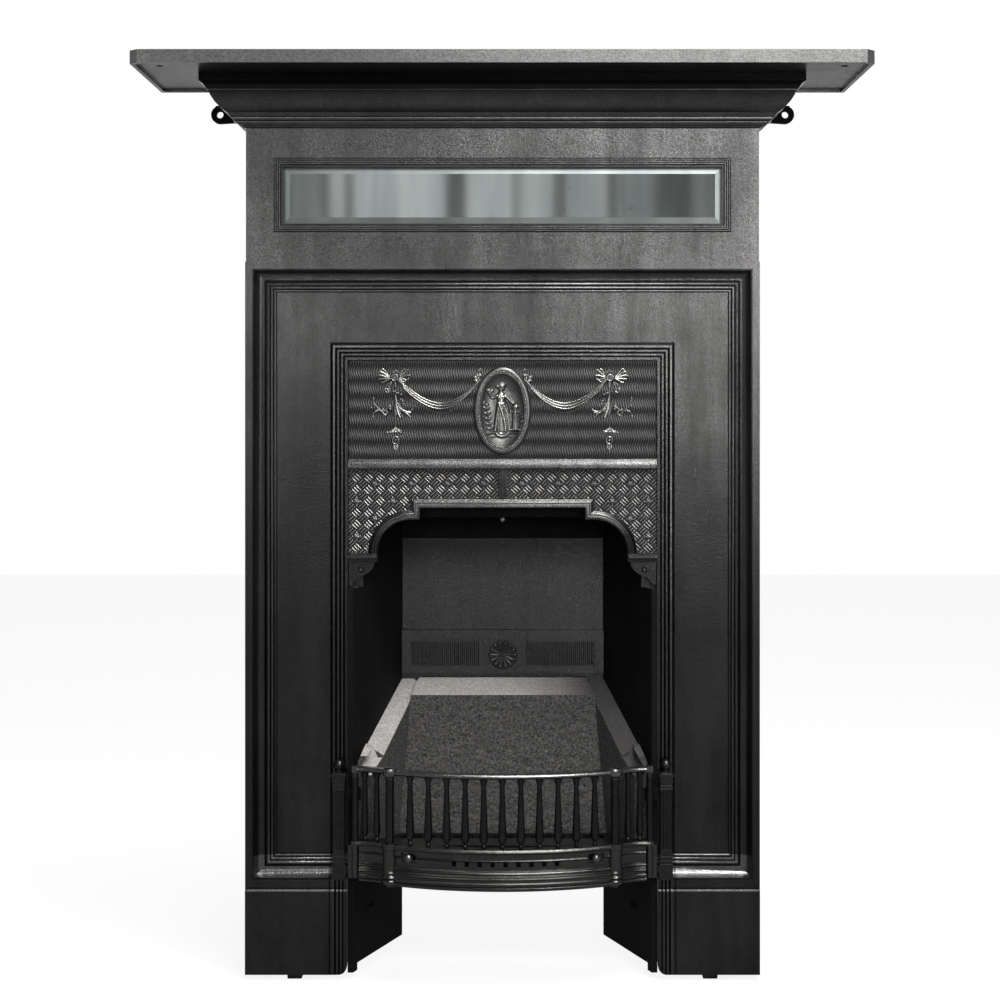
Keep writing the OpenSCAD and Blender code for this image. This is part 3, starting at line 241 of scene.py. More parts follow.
def fireclay(name, tone, grit=0.5, darkening=None):
    """Coarse fired clay; grit is how far its grains differ in tone, darkening is what Mat.along takes."""
    m = Mat(name, Metallic=0.0, Specular_IOR_Level=0.3)
    grains = m.noise(330, 5, 0.75)
    cloud = m.noise(28)
    pits = m.cells(330)
    c = m.mix(m.ramp(grains, 0.4, 0.64), shade(tone, 1 - grit), shade(tone, 1 + grit / 2))
    c = m.mix(m.ramp(cloud, 0.35, 0.75, 0, 0.45), c, shade(tone, 0.55))
    c = m.mix(m.ramp(pits, 0.0, 0.22, 0.7, 0), c, (0.02, 0.019, 0.018))
    if darkening is not None:
        c = m.along(c, *darkening)
    m.color(c)
    m.rough(m.ramp(grains, 0.3, 0.7, 0.75, 0.95))
    coarse = m.bump(grains, 0.002, 0.6)
    m.bump(pits, 0.0008, 0.3, coarse)
    return m.material


def aged_mirror():
    """Old silver, cloudy in soft upright bands that are in part a painted reflection, and a little green, with
    worn, rough bevels darkened grey by painted shade.
    """
    m = Mat("mirror", Metallic=1.0)
    clouds_and_reflection = m.noise(6, 3, 0.5, (2.6, 1, 0.35))
    foxing = m.noise(60, 5, 0.7)
    specks = m.noise(300, 3)
    c = m.mix(m.ramp(clouds_and_reflection, 0.36, 0.62), (0.5, 0.56, 0.555), (0.76, 0.82, 0.81))
    c = m.mix(m.ramp(foxing, 0.66, 0.78, 0, 0.7), c, (0.1, 0.11, 0.1))
    c = m.mix(m.ramp(specks, 0.72, 0.8, 0, 0.8), c, (0.5, 0.54, 0.53))
    facing = m.node("SeparateXYZ")
    m.link(m.node("NewGeometry").outputs["True Normal"], facing.inputs[0])
    flat, tilted = -0.9995, -0.99       # the normal's Y on the glass and on its bevels
    # Bevels darkened to a quarter, a painted shade that dims their reflection, and rougher.
    m.color(m.times(c, m.ramp(facing.outputs["Y"], flat, tilted, 1, 0.25)))
    m.rough(m.ramp(facing.outputs["Y"], flat, tilted, 0.05, 0.42))
    return m.material


def plain(name, tone, rough, metal, scale, vary=0.3, bump=0.0002, stretch=(1, 1, 1)):
    """One noise for tone, gloss and bumps."""
    m = Mat(name, Metallic=metal)
    n = m.noise(scale, 5, 0.6, stretch)
    m.color(m.mix(m.ramp(n, 0.3, 0.7), shade(tone, 1 - vary), shade(tone, 1 + vary)))
    m.rough(m.ramp(n, 0.3, 0.7, rough + 0.1, rough - 0.08))
    m.bump(n, bump, 0.5)
    return m.material


BLACKED = (0.094, 0.0925, 0.091)
GRATE_BLACK = (0.085, 0.084, 0.081)
BRUSHED = (0.17, 0.168, 0.164)
# Painted shade in the grooves, painted highlight on the reeds and a painted shadow line along the outer edge
# of the frame mouldings, as Mat.reeds takes them.
OUTER_FRAME_SHADING = (337, 137.5, 960.5,
               ((-1, 1), (-0.4, 0.3), (1, 0.3), (1.8, 1), (13.4, 0.9), (14, 0.1), (16.9, 0.1), (17.5, 1.4),
                (20.3, 1.4), (20.9, 0.1), (22, 0.1), (22.5, 1.4), (25.1, 1.4), (25.6, 0.1), (26.7, 0.1),
                (27.1, 1.3), (28.4, 1.2), (28.9, 0.3), (29.6, 0.3), (30, 1)))
INNER_FRAME_SHADING = (234, None, 862,
               ((-0.9, 1), (-0.5, 0.25), (0.7, 0.25), (1.2, 0.8), (3.6, 1), (4, 1.5), (6.3, 1.5), (6.8, 0.1),
                (9.3, 0.1), (9.8, 1.4), (12, 1.4), (12.4, 0.1), (14.6, 0.1), (15, 1.4), (17.1, 1.4),
                (17.6, 0.1), (19.4, 0.1), (19.8, 1.1), (24, 1)))
MIRROR_FRAME_SHADING = (308, 1011.5, 1110.5,
                ((-1, 1), (-0.7, 0.25), (0, 0.25), (0.4, 1.2), (1.9, 1.2), (2.3, 0.1), (3.4, 0.1), (3.7, 1.3),
                 (4.8, 1.3), (5.2, 0.1), (6.2, 0.1), (6.5, 1.3), (7.6, 1.3), (8, 0.1), (9.2, 0.1), (9.5, 0.6),
                 (12, 0.6)))
# Bands as iron takes them: a painted highlight on the sill, a painted highlight on the plinth's top edge with
# a painted shadow line over it, and the shafts of the grate's corner posts darker. The darkening along Z
# below, as Mat.along takes it, is painted shade: the front darker towards the floor, to half at 0.12 m.
SILL_PAINTED_HIGHLIGHT = (337, 137.5, 167, 3.6)
PLINTH_EDGE_HIGHLIGHT = (347, 120.8, 123.6, 7)
PLINTH_PAINTED_SHADOW = (347, 124.2, 126, 0.2)
POST_SHAFT = (1000, 192, 278, 0.5)
PAINTED_SHADE_BELOW = ("Z", 0.12, 0.75, 0.5, 1)

front_iron = iron("front_iron", BLACKED, 0.24, 0.92, streak=0.4, darkening=PAINTED_SHADE_BELOW)
surround_iron = iron("surround_iron", BLACKED, 0.24, 0.92, streak=0.4, darkening=PAINTED_SHADE_BELOW,
                     frame_shading=(OUTER_FRAME_SHADING, INNER_FRAME_SHADING), bands=(SILL_PAINTED_HIGHLIGHT, PLINTH_EDGE_HIGHLIGHT, PLINTH_PAINTED_SHADOW))
frieze_iron = iron("frieze_iron", BLACKED, 0.24, 0.92, streak=0.4, frame_shading=(MIRROR_FRAME_SHADING,))
# Painted shadow: the cornice's top, under the shelf, darkened to 0.06 of its tone.
cornice_iron = iron("cornice_iron", (0.11, 0.108, 0.106), 0.22, 0.92, darkening=("Z", 1.18, 1.204, 1, 0.06))
shelf_iron = iron("shelf_iron", (0.13, 0.128, 0.125), 0.3, 0.92, streak=0.15)
bar_iron = iron("bar_iron", BRUSHED, 0.24, 0.95, streak=0.3)
grate_iron = iron("grate_iron", GRATE_BLACK, 0.22, 0.93, streak=0.2)
post_iron = iron("grate_post_iron", GRATE_BLACK, 0.22, 0.93, streak=0.2, bands=(POST_SHAFT,))
# The fire back darker towards its top, under the hood.
back_iron = iron("back_iron", (0.115, 0.1135, 0.111), 0.26, 0.95, streak=0.3, darkening=("Z", 0.53, 0.577, 1, 0.4))
baluster_iron = iron("baluster_iron", (0.045, 0.0445, 0.043), 0.2, 0.93, streak=0.2)
inner_iron = iron("inner_iron", (0.01, 0.0098, 0.0096), 0.6, 0.3, spec=0.06)
# Painted shade: the arch moulding darker below 0.6 m, to 0.3 of its tone.
arch_iron = iron("arch_iron", BRUSHED, 0.24, 0.95, streak=0.3, darkening=("Z", 0.6, 0.64, 0.3, 1))
relief_iron = iron("figure_iron", (0.3, 0.297, 0.29), 0.26, 0.95, wear_and_sheen=0.8, grain=0.4)
weave_iron = iron("weave_iron", (0.45, 0.445, 0.436), 0.33, 0.95, wear_and_sheen=0.8)
ground_iron = iron("ground_iron", (0.135, 0.1335, 0.1305), 0.36, 0.94, wear_and_sheen=0.2, grain=0.4)
# Painted shade: the copings darker towards the right, to 0.16 past X 0.125 m.
coping = fireclay("fireclay_coping", (0.52, 0.5, 0.485), 0.35, ("X", 0.01, 0.125, 1, 0.16))
dark_clay = fireclay("fireclay_dark", (0.11, 0.106, 0.102), 0.85)
mirror = aged_mirror()
wood = plain("wood", (0.2, 0.12, 0.065), 0.7, 0.0, 40, 0.4, 0.0006, (1, 6, 12))
steel = plain("steel", (0.22, 0.21, 0.2), 0.45, 0.95, 500)
bright = plain("bright_knob", (0.5, 0.49, 0.47), 0.25, 1.0, 500, 0.15)

# ---------------------------------------------------------------- CAD nodes
# What each material slot of the record gets, and the nodes that have a finish of their own.
BY_SLOT = {"front_iron": front_iron, "bar_iron": bar_iron, "inner_iron": inner_iron, "mirror": mirror,
           "wood": wood, "steel": steel, "bright_knob": bright, "fireclay": dark_clay}
# wall_lugs take the near-black inner iron, a painted shade for the lugs under the shelf.
BY_NODE = {"shelf": shelf_iron, "cornice": cornice_iron, "wall_lugs": inner_iron, "surround": surround_iron,
           "frieze": frieze_iron, "fire_back": back_iron, "flute_band": back_iron, "rosette": grate_iron,
           "apron": grate_iron, "bottom_rail": grate_iron, "corner_posts": post_iron,
           "balusters": baluster_iron}
# Radius of the rounded edges of the castings, in mm.
ROUNDED = {"shelf": 1.6, "cornice": 0.6, "frieze": 0.5, "surround": 0.5, "post_left": 0.5, "post_right": 0.5,
           "swag_panel": 0.7, "hood": 0.8, "hood_divider": 0.8, "hood_ears": 0.8, "cheek_left": 1.2,
           "cheek_right": 1.2, "feet": 1.5, "wall_lugs": 1.0, "fire_back": 0.8, "bottom_grate": 0.8,
           "grate_ledges": 0.8, "hang_lugs": 0.8, "throat_frame": 0.8, "damper_flap": 0.8, "brick_back": 1.5,
           "apron": 0.35, "bottom_rail": 0.4, "top_rail": 0.5, "corner_posts": 0.4, "medallion": 0.4}


def soften(o, width):
    """Rounds the sharp edges of a casting by width mm and smooths its curves."""
    o.data.polygons.foreach_set("use_smooth", [True] * len(o.data.polygons))
    weld = o.modifiers.new("weld", "WELD")
    weld.merge_threshold = 0.02 * MM
    flat = o.modifiers.new("flat", "DECIMATE")
    flat.decimate_type = "DISSOLVE"
    flat.angle_limit = math.radians(0.4)
    bevel = o.modifiers.new("bevel", "BEVEL")
    bevel.width = width * MM
    bevel.segments = 2
    bevel.limit_method = "ANGLE"
    bevel.angle_limit = math.radians(32)
    bevel.harden_normals = True
    bevel.use_clamp_overlap = True
    normals = o.modifiers.new("normals", "WEIGHTED_NORMAL")
    normals.mode = "FACE_AREA"
    normals.weight = 90
    normals.keep_sharp = True


def dress_nodes():
    slot_of = {s["node"]: s["material_slot"] for s in frame["record"]["subparts"]}
    for name, o in NODES.items():
        o.data.materials.clear()
        o.data.materials.append(BY_NODE.get(name, BY_SLOT[slot_of[name]]))
        if name in ROUNDED:
            soften(o, ROUNDED[name])


dress_nodes()


# ---------------------------------------------------------------- relief
def spline(points, per_span=12):
    """Points on a smooth curve through points."""
    p = np.array(points, float)
    p = np.vstack([2 * p[0] - p[1], p, 2 * p[-1] - p[-2]])
    t = np.linspace(0, 1, per_span, endpoint=False)[:, None]
    curve = []
    for a, b, c, d in zip(p, p[1:], p[2:], p[3:]):
        curve.append(0.5 * (2 * b + (c - a) * t + (2 * a - 5 * b + 4 * c - d) * t ** 2
                            + (3 * b - a - 3 * c + d) * t ** 3))
    return np.vstack(curve + [p[-2][None]])


def lengths(path):
    """Length along path up to each of its points."""
    return np.r_[0, np.cumsum(np.hypot(*np.diff(path, axis=0).T))]


def dome(q):
    """Height of a round back at q, which is 0 in its middle and 1 at its edge."""
    return np.sqrt(np.clip(1 - q ** 2, 0, 1))


def grid_quads(rows, columns):
    """Faces of a grid of vertices."""
    index = np.arange(rows * columns).reshape(rows, columns)
    corners = [index[:-1, :-1], index[1:, :-1], index[1:, 1:], index[:-1, 1:]]
    return np.stack(corners, -1).reshape(-1, 4)


def add_piece(name, mesh, material):
    mesh.materials.append(material)
    o = bpy.data.objects.new(name, mesh)
    SCENE.collection.objects.link(o)
    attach(o, "fireplace")
    return o


def set_high(mesh, high):
    """Stores how high each vertex lies in the relief, 0 to 1, for iron's dark grooves and bright crests:
    painted shade and painted highlight, in part dirt and polish.
    """
    mesh.attributes.new("high", "FLOAT", "POINT").data.foreach_set("value", high.astype(np.float32))


def grid_piece(name, co, quads, material, high=None):
    """A smooth piece from corners in metres and faces of four."""
    mesh = bpy.data.meshes.new(name)
    mesh.vertices.add(len(co))
    mesh.vertices.foreach_set("co", co.ravel())
    mesh.loops.add(quads.size)
    mesh.loops.foreach_set("vertex_index", quads.ravel().astype(np.int32))
    mesh.polygons.add(len(quads))
    mesh.polygons.foreach_set("loop_start", np.arange(0, quads.size, 4, dtype=np.int32))
    mesh.polygons.foreach_set("loop_total", np.full(len(quads), 4, np.int32))
    mesh.polygons.foreach_set("use_smooth", np.ones(len(quads), bool))
    if high is not None:
        set_high(mesh, high)
    mesh.update(calc_edges=True)
    mesh.validate()
    return add_piece(name, mesh, material)


class Relief:
    """Heights in mm over a grid of X and Z, built up from strokes, leaves, flowers, rings and balls.

    Each form is a set of heights, and the highest counts. fat widens the strokes and leaves that follow.
    """

    def __init__(self, x0, x1, z0, z1, step_x, step_z):
        self.x = np.arange(x0, x1 + step_x / 2, step_x)
        self.z = np.arange(z0, z1 + step_x / 2, step_z)
        self.X, self.Z = np.meshgrid(self.x, self.z, indexing="ij")
        self.h = np.zeros_like(self.X)
        self.fat = 1.0

    def up(self, h):
        self.h = np.maximum(self.h, h)

    def stroke(self, points, r0, r1, height, ridges=0, curve=True, mid=None):
        """A rounded band along points, whose half width goes from r0 to r1 and bulges to mid halfway."""
        r0, r1, mid = r0 * self.fat, r1 * self.fat, mid and mid * self.fat
        p = spline(points) if curve and len(points) > 2 else np.array(points, float)
        run = lengths(p)
        nearest = np.full_like(self.X, 9.0)     # distance from the path over the half width there
        side = np.zeros_like(self.X)            # the same, negative on one side
        margin = max(r0, r1, mid or 0) + 1
        for i, (a, b) in enumerate(zip(p, p[1:])):
            near_x = (self.x > min(a[0], b[0]) - margin) & (self.x < max(a[0], b[0]) + margin)
            near_z = (self.z > min(a[1], b[1]) - margin) & (self.z < max(a[1], b[1]) + margin)
            if not near_x.any() or not near_z.any():
                continue
            window = np.ix_(near_x, near_z)
            X, Z = self.X[window], self.Z[window]
            d = b - a
            t = np.clip(((X - a[0]) * d[0] + (Z - a[1]) * d[1]) / max(d @ d, 1e-9), 0, 1)
            s = (run[i] + t * (run[i + 1] - run[i])) / run[-1]
            r = r0 + (r1 - r0) * s
            if mid is not None:
                r = r + (mid - (r0 + r1) / 2) * 4 * s * (1 - s)
            q = np.hypot(X - a[0] - t * d[0], Z - a[1] - t * d[1]) / np.maximum(r, 0.05)
            closer = q < nearest[window]
            signed = np.sign((X - a[0]) * d[1] - (Z - a[1]) * d[0]) * q
            side[window] = np.where(closer, signed, side[window])
            nearest[window] = np.where(closer, q, nearest[window])
        h = height * dome(nearest)
        if ridges:
            h = h * (0.62 + 0.38 * np.abs(np.cos(side * math.pi * ridges / 2)))
        self.up(np.where(nearest < 1, h, 0))

    def leaf(self, x, z, angle, length, width, height):
        """A pointed leaf with a sunk vein, from x, z in the direction of angle in degrees."""
        a = math.radians(angle)
        u = ((self.X - x) * math.cos(a) + (self.Z - z) * math.sin(a)) / length
        v = (-(self.X - x) * math.sin(a) + (self.Z - z) * math.cos(a)) / (width * self.fat)
        w = np.sin(math.pi * np.clip(u, 0, 1) ** 0.8) + 1e-6
        q = np.abs(v) / w
        h = height * dome(q) * (0.5 + 0.5 * np.clip(w, 0, 1))
        h = h * (1 - 0.35 * np.exp(-(v / 0.16) ** 2))
        self.up(np.where((u > 0) & (u < 1) & (q < 1), h, 0))

    def flower(self, x, z, r, petals, height, turn=0.0):
        """Turned by an angle in radians."""
        dx, dz = self.X - x, self.Z - z
        d = np.hypot(dx, dz) / r
        petal = np.abs(np.cos((np.arctan2(dz, dx) + turn) * petals / 2))
        q = d / (0.72 + 0.28 * petal)
        h = height * dome(q) ** 0.7 * (0.45 + 0.55 * petal)
        eye = 0.3
        h = np.where(d < eye, height * (0.75 + 0.45 * dome(d / eye)), h)
        self.up(np.where(q < 1, h, 0))

    def ring(self, x, z, r, width, height, squash=1.0):
        d = np.abs(np.hypot(self.X - x, (self.Z - z) / squash) - r) / width
        self.up(np.where(d < 1, height * dome(d), 0))

    def ball(self, x, z, rx, rz, height):
        q = ((self.X - x) / rx) ** 2 + ((self.Z - z) / rz) ** 2
        self.up(np.where(q < 1, height * np.sqrt(np.clip(1 - q, 0, 1)), 0))

    def blur(self):
        """Takes the edge off every form, over about a step of the grid."""
        for _ in ("X", "Z"):
            p = np.pad(self.h, ((1, 1), (0, 0)), mode="edge")
            self.h = (0.25 * p[:-2] + 0.5 * self.h + 0.25 * p[2:]).T

    def sample(self, x, z):
        """Heights at any places."""
        i = np.clip((x - self.x[0]) / (self.x[1] - self.x[0]), 0, len(self.x) - 1.001)
        j = np.clip((z - self.z[0]) / (self.z[1] - self.z[0]), 0, len(self.z) - 1.001)
        i0, j0 = i.astype(int), j.astype(int)
        u, v = i - i0, j - j0
        low = self.h[i0, j0] * (1 - u) + self.h[i0 + 1, j0] * u
        high = self.h[i0, j0 + 1] * (1 - u) + self.h[i0 + 1, j0 + 1] * u
        return low * (1 - v) + high * v

    def build(self, name, material, y, keep, high, flip=False):
        """Makes the mesh of the cells whose corners are all kept, in front of the plane Y = y."""
        cell = keep[:-1, :-1] & keep[1:, :-1] & keep[:-1, 1:] & keep[1:, 1:]
        quads = grid_quads(*self.h.shape)[cell.ravel()]
        used, renumbered = np.unique(quads, return_inverse=True)
        quads = renumbered.reshape(quads.shape)
        X, h, Z = (v.ravel()[used] for v in (self.X, self.h, self.Z))
        co = np.stack([X, y - h + WALL_Y, Z], 1) * MM
        if flip:
            co[:, 0] *= -1
            quads = quads[:, ::-1]
        return grid_piece(name, co, quads, material, high=high.ravel()[used])


# ---------------------------------------------------------------- hood
WEAVE_X, WEAVE_Z = 16.45, 15.9          # pitch of the crossings, mm
WEAVE_FIRST_X = 18.0                    # the crossing next to the divider
WEAVE_TOP_Z = 677.7                     # the top row of crossings


def rosette_places():
    """Every other place of a grid of one and a half pitches, on both sides of the divider."""
    places = []
    for column in range(12):
        for row in range(8):
            if (column + row) % 2 == 0:
                x = WEAVE_FIRST_X + (0.5 + 1.5 * column) * WEAVE_X
                z = WEAVE_TOP_Z - (0.5 + 1.5 * row) * WEAVE_Z
                places += [(-x, z), (x, z)]
    return places


def in_arch(X, Z):
    """Where the divider or the arch with its moulding covers the hood."""
    a, divider_half, moulding = np.abs(X), 6.0, 10
    crown = (a < CROWN_HALF + moulding) & (Z < CROWN_Z + moulding)
    shoulder = (a < ARCH_X + 0.5) & (Z < SHOULDER_Z + moulding)
    rounds = np.hypot(a - ARCH_X, Z - ARCH_Z) < ARCH_R + moulding
    return (a < divider_half) | crown | shoulder | rounds


def weave():
    """Diagonal basket weave on the hood, three strands to a bundle, with small rosettes."""
    r = Relief(-OPENING_HALF, OPENING_HALF, 575.5, 688.9, 0.35, 0.35)
    X, Z = r.X, r.Z
    strands, strand_half, bed, thick = 3, 0.24, 0.15, 1.15
    lx = np.sign(X) * (np.abs(X) - WEAVE_FIRST_X) / WEAVE_X
    lz = (Z - WEAVE_TOP_Z) / WEAVE_Z
    u, v = lx + lz, lx - lz
    tile_u, tile_v = np.floor(u + 0.5), np.floor(v + 0.5)
    cu, cv = u - tile_u, v - tile_v
    falling = (tile_u + tile_v) % 2 == 0
    across = np.where(falling, cu, cv)
    along = np.where(falling, cv, cu)
    strand = dome(((across * strands + 0.5) % 1.0 - 0.5) / strand_half)
    arch = 1 - 0.9 * np.clip(np.abs(along) * 2, 0, 1) ** 5
    r.h = bed + thick * strand * arch

    rosettes, clear = rosette_places(), 4.9     # and the radius of the bare spot round each
    for x, z in rosettes:
        r.h = np.where(np.hypot(X - x, Z - z) < clear, 0.2, r.h)
    for x, z in rosettes:
        r.flower(x, z, 4.5, 5, 2.4, turn=0.3)
    # Dark gaps and bright crests, painted shade and painted highlight in part; the rising bundles darker, a
    # painted shade for light from the upper right.
    high = np.clip((r.h - bed) / thick, 0, 1) ** 1.2 * np.where(falling, 1.0, 0.68)
    for x, z in rosettes:
        high = np.where(np.hypot(X - x, Z - z) < clear, np.minimum(high, 0.5), high)
    r.build("woven_field", weave_iron, PLATE_Y - 0.02, ~in_arch(X, Z), high)


def arch_moulding():
    """Moulding round the arch: bead, groove, fillet and a slope that faces outwards."""
    profile = [(-0.35, 7.0), (-0.2, 11.3), (0.5, 12.5), (1.9, 13.2), (3.2, 12.9), (3.8, 12.1), (4.15, 10.6),
               (5.0, 10.3), (6.2, 10.8), (7.2, 10.75), (8.0, 10.2), (9.4, 8.8), (10.8, 7.5), (12.0, 6.5),
               (12.45, 5.4), (12.5, 0.2)]      # mm out from the arch, mm in front of the plate
    turn = np.radians(np.linspace(180, 90, 29))
    rows = []
    for out, front in profile:
        r = ARCH_R + out
        left = [(-ARCH_X + r * math.cos(a), ARCH_Z + r * math.sin(a)) for a in turn]
        left += [(-CROWN_HALF - out, SHOULDER_Z + out), (-CROWN_HALF - out, CROWN_Z + out)]
        path = left + [(-x, z) for x, z in left[::-1]]
        rows.append([(x, PLATE_Y - front + WALL_Y, z) for x, z in path])
    co = np.array(rows)
    o = grid_piece("arch_moulding", co.reshape(-1, 3) * MM, grid_quads(*co.shape[:2]), arch_iron)
    o.modifiers.new("edges", "EDGE_SPLIT").split_angle = math.radians(40)


arch_moulding()
weave()


# ---------------------------------------------------------------- swag panel
def swag_ground():
    """Wavy upright ridges behind the swags, in faint level bands of painted light and shade."""
    r = Relief(-OPENING_HALF, OPENING_HALF, 704.0, 838.0, 0.41, 0.9)
    X, Z = r.X, r.Z
    full = 2 * math.pi
    ridge_pitch, wave_pitch, band_pitch = 3.3, 20.5, 20.9
    wave = 1.3 * np.sin((Z - 838) / wave_pitch * full + 0.5 * np.sin(X / 31.0) + 0.3 * np.sin(X / 13.0 + 1.0))
    ridge = 0.5 + 0.5 * np.cos(full * (X + wave + 0.5 * np.sin(X / 9 + Z / 6)) / ridge_pitch)
    r.h = 0.08 + 0.42 * ridge
    # Painted light and shade: level bands in the tone, one to each row of waves, and crests lighter than
    # furrows.
    band = 0.72 + 0.28 * np.cos((Z - 800.3) / band_pitch * full)
    under_medallion = (X / 37.5) ** 2 + ((Z - MEDALLION_Z) / 58) ** 2 <= 1
    r.build("wavy_ground", ground_iron, PLATE_Y - 0.02, ~under_medallion, (0.3 + 0.7 * ridge) * band)


# The swag is drawn on a grid over the panel's left half. Bow and sprig have finer grids of their own.
DRAWING_UNIT = 0.17044                    # mm
DRAWING_X, DRAWING_Z = -214.75, 845.5     # the drawing's upper left corner, mm
FINE_UNIT = 0.5714                        # of the bow's and the sprig's grids, in units of the drawing
BOW_CORNER = (160, 40)                    # upper left corners of these grids in the drawing
SPRIG_CORNER = (968, 40)


def drawn(*points):
    """Points of the drawing, in mm."""
    return [(DRAWING_X + x * DRAWING_UNIT, DRAWING_Z - y * DRAWING_UNIT) for x, y in points]


def fine(corner, points):
    return drawn(*[(corner[0] + x * FINE_UNIT, corner[1] + y * FINE_UNIT) for x, y in points])


def on_bow(*points):
    return fine(BOW_CORNER, points)


def on_sprig(*points):
    return fine(SPRIG_CORNER, points)


def strokes(r, place, paths, *widths, **more):
    """Strokes of the same widths; here and below place is on_bow or on_sprig."""
    for path in paths:
        r.stroke(place(*path), *widths, **more)


def leaves(r, place, spots, width, height):
    """Spots are x, y, angle in degrees and length in mm."""
    for x, y, angle, length in spots:
        r.leaf(*place((x, y))[0], angle, length, width, height)


def balls(r, place, spots, height):
    """Spots are x, y and radius in mm."""
    for x, y, size in spots:
        r.ball(*place((x, y))[0], size, size, height)


def festoon(r):
    """Swag of three strands, widest in its middle, and the beaded cord below it."""
    for k, drop in enumerate((0, 21, 42)):
        r.stroke(drawn((428 + 6 * k, 200 + drop * 0.35), (498 - 3 * k, 256 + drop * 0.7), (600, 330 + drop),
                       (700, 374 + drop * 1.08), (790, 384 + drop), (890, 350 + drop * 0.9),
                       (985, 288 + drop * 0.6), (1085, 192 + drop * 0.3)),
                 1.1, 0.8, 3.4 - 0.3 * k, mid=1.55)
    cord = spline(drawn((470, 318), (560, 384), (700, 452), (800, 462), (900, 424), (990, 352), (1050, 290)),
                  per_span=14)
    run = lengths(cord)
    bead = 0.95                             # radius, mm
    for s in np.arange(0, run[-1], 2 * bead):
        r.ball(np.interp(s, run, cord[:, 0]), np.interp(s, run, cord[:, 1]), bead, bead, 1.3)


def bow(r):
    """Two loops of folded ribbon about a ringed knot, with a lower loop, blooms and berries."""
    strokes(r, on_bow, (((352, 232), (300, 175), (258, 128), (222, 132)),
                        ((350, 238), (282, 198), (220, 160), (188, 176)),
                        ((348, 246), (270, 226), (210, 212), (176, 222)),
                        ((350, 256), (282, 258), (228, 262), (192, 268)),
                        ((354, 264), (300, 284), (262, 310), (232, 312))), 0.7, 1.25, 3.0, mid=1.35)
    strokes(r, on_bow, (((486, 214), (508, 180), (528, 140), (556, 126)),
                        ((490, 224), (530, 196), (566, 160), (602, 138)),
                        ((492, 236), (540, 226), (588, 214), (622, 214)),
                        ((490, 250), (536, 262), (580, 276), (606, 262)),
                        ((484, 262), (512, 284), (544, 306), (572, 292))), 0.7, 1.2, 3.0, mid=1.3)
    balls(r, on_bow, ((404, 168, 1.9), (434, 150, 2.1), (462, 172, 1.8)), 2.4)
    knot = drawn((400, 180))[0]
    r.ball(*knot, 5.2, 5.2, 1.6)
    r.ring(*knot, 4.3, 1.15, 4.0)
    r.ball(*knot, 1.8, 1.8, 4.2)
    strokes(r, on_bow, (((366, 306), (330, 330), (296, 366), (280, 402)),
                        ((372, 318), (350, 352), (340, 382), (346, 410)),
                        ((280, 402), (290, 440), (324, 456), (346, 440)),
                        ((288, 398), (312, 404), (330, 422), (326, 446))), 0.9, 1.0, 2.6)
    r.stroke(on_bow((424, 318), (428, 360), (426, 400)), 1.3, 0.8, 2.4)
    balls(r, on_bow, ((398, 438, 1.5), (426, 436, 1.8), (464, 464, 2.1), (502, 480, 1.8), (528, 574, 2.2),
                      (506, 548, 1.5), (538, 612, 1.6), (566, 640, 1.3), (436, 462, 1.6)), 2.7)


def tail(r):
    """Drapery that hangs from the bow and fans out at its foot."""
    r.stroke(on_bow((428, 480), (424, 600), (420, 700), (436, 772)), 0.9, 1.5, 2.0, mid=1.5)
    r.stroke(on_bow((432, 500), (440, 620), (458, 720), (496, 806)), 1.0, 1.6, 2.9, mid=2.3)
    r.stroke(on_bow((440, 560), (470, 640), (500, 690), (548, 722), (604, 760), (642, 798)),
             1.1, 1.1, 3.2, mid=1.7)
    r.stroke(on_bow((468, 610), (520, 690), (580, 722), (650, 738)), 0.9, 1.2, 3.4, mid=1.5)
    r.stroke(on_bow((590, 716), (640, 712), (668, 690)), 1.1, 1.2, 2.6)
    r.stroke(on_bow((450, 600), (478, 700), (520, 780), (540, 806)), 0.8, 1.0, 2.2)


def outer_sprigs(r):
    """Twigs with leaves and berries at the tail's outer side."""
    r.stroke(on_bow((116, 524), (130, 600), (196, 680), (286, 768)), 0.6, 1.2, 2.8)
    r.stroke(on_bow((160, 640), (230, 716), (278, 764)), 0.6, 0.9, 2.2)
    r.stroke(on_bow((290, 772), (314, 742), (296, 700), (318, 668), (356, 654)), 1.2, 0.8, 2.6)
    leaves(r, on_bow, ((122, 570, 100, 6), (150, 636, 160, 5), (196, 690, 215, 7), (240, 730, 70, 7),
                       (300, 716, 150, 5), (336, 664, 75, 5), (276, 764, 235, 5), (330, 690, 20, 5)),
           1.5, 2.6)
    r.stroke(on_bow((214, 716), (168, 706), (136, 740)), 0.7, 0.6, 1.8)
    balls(r, on_bow, ((150, 716, 2.0), (120, 748, 1.5), (114, 790, 2.1), (84, 664, 1.3), (286, 770, 2.0),
                      (352, 652, 1.6)), 2.9)


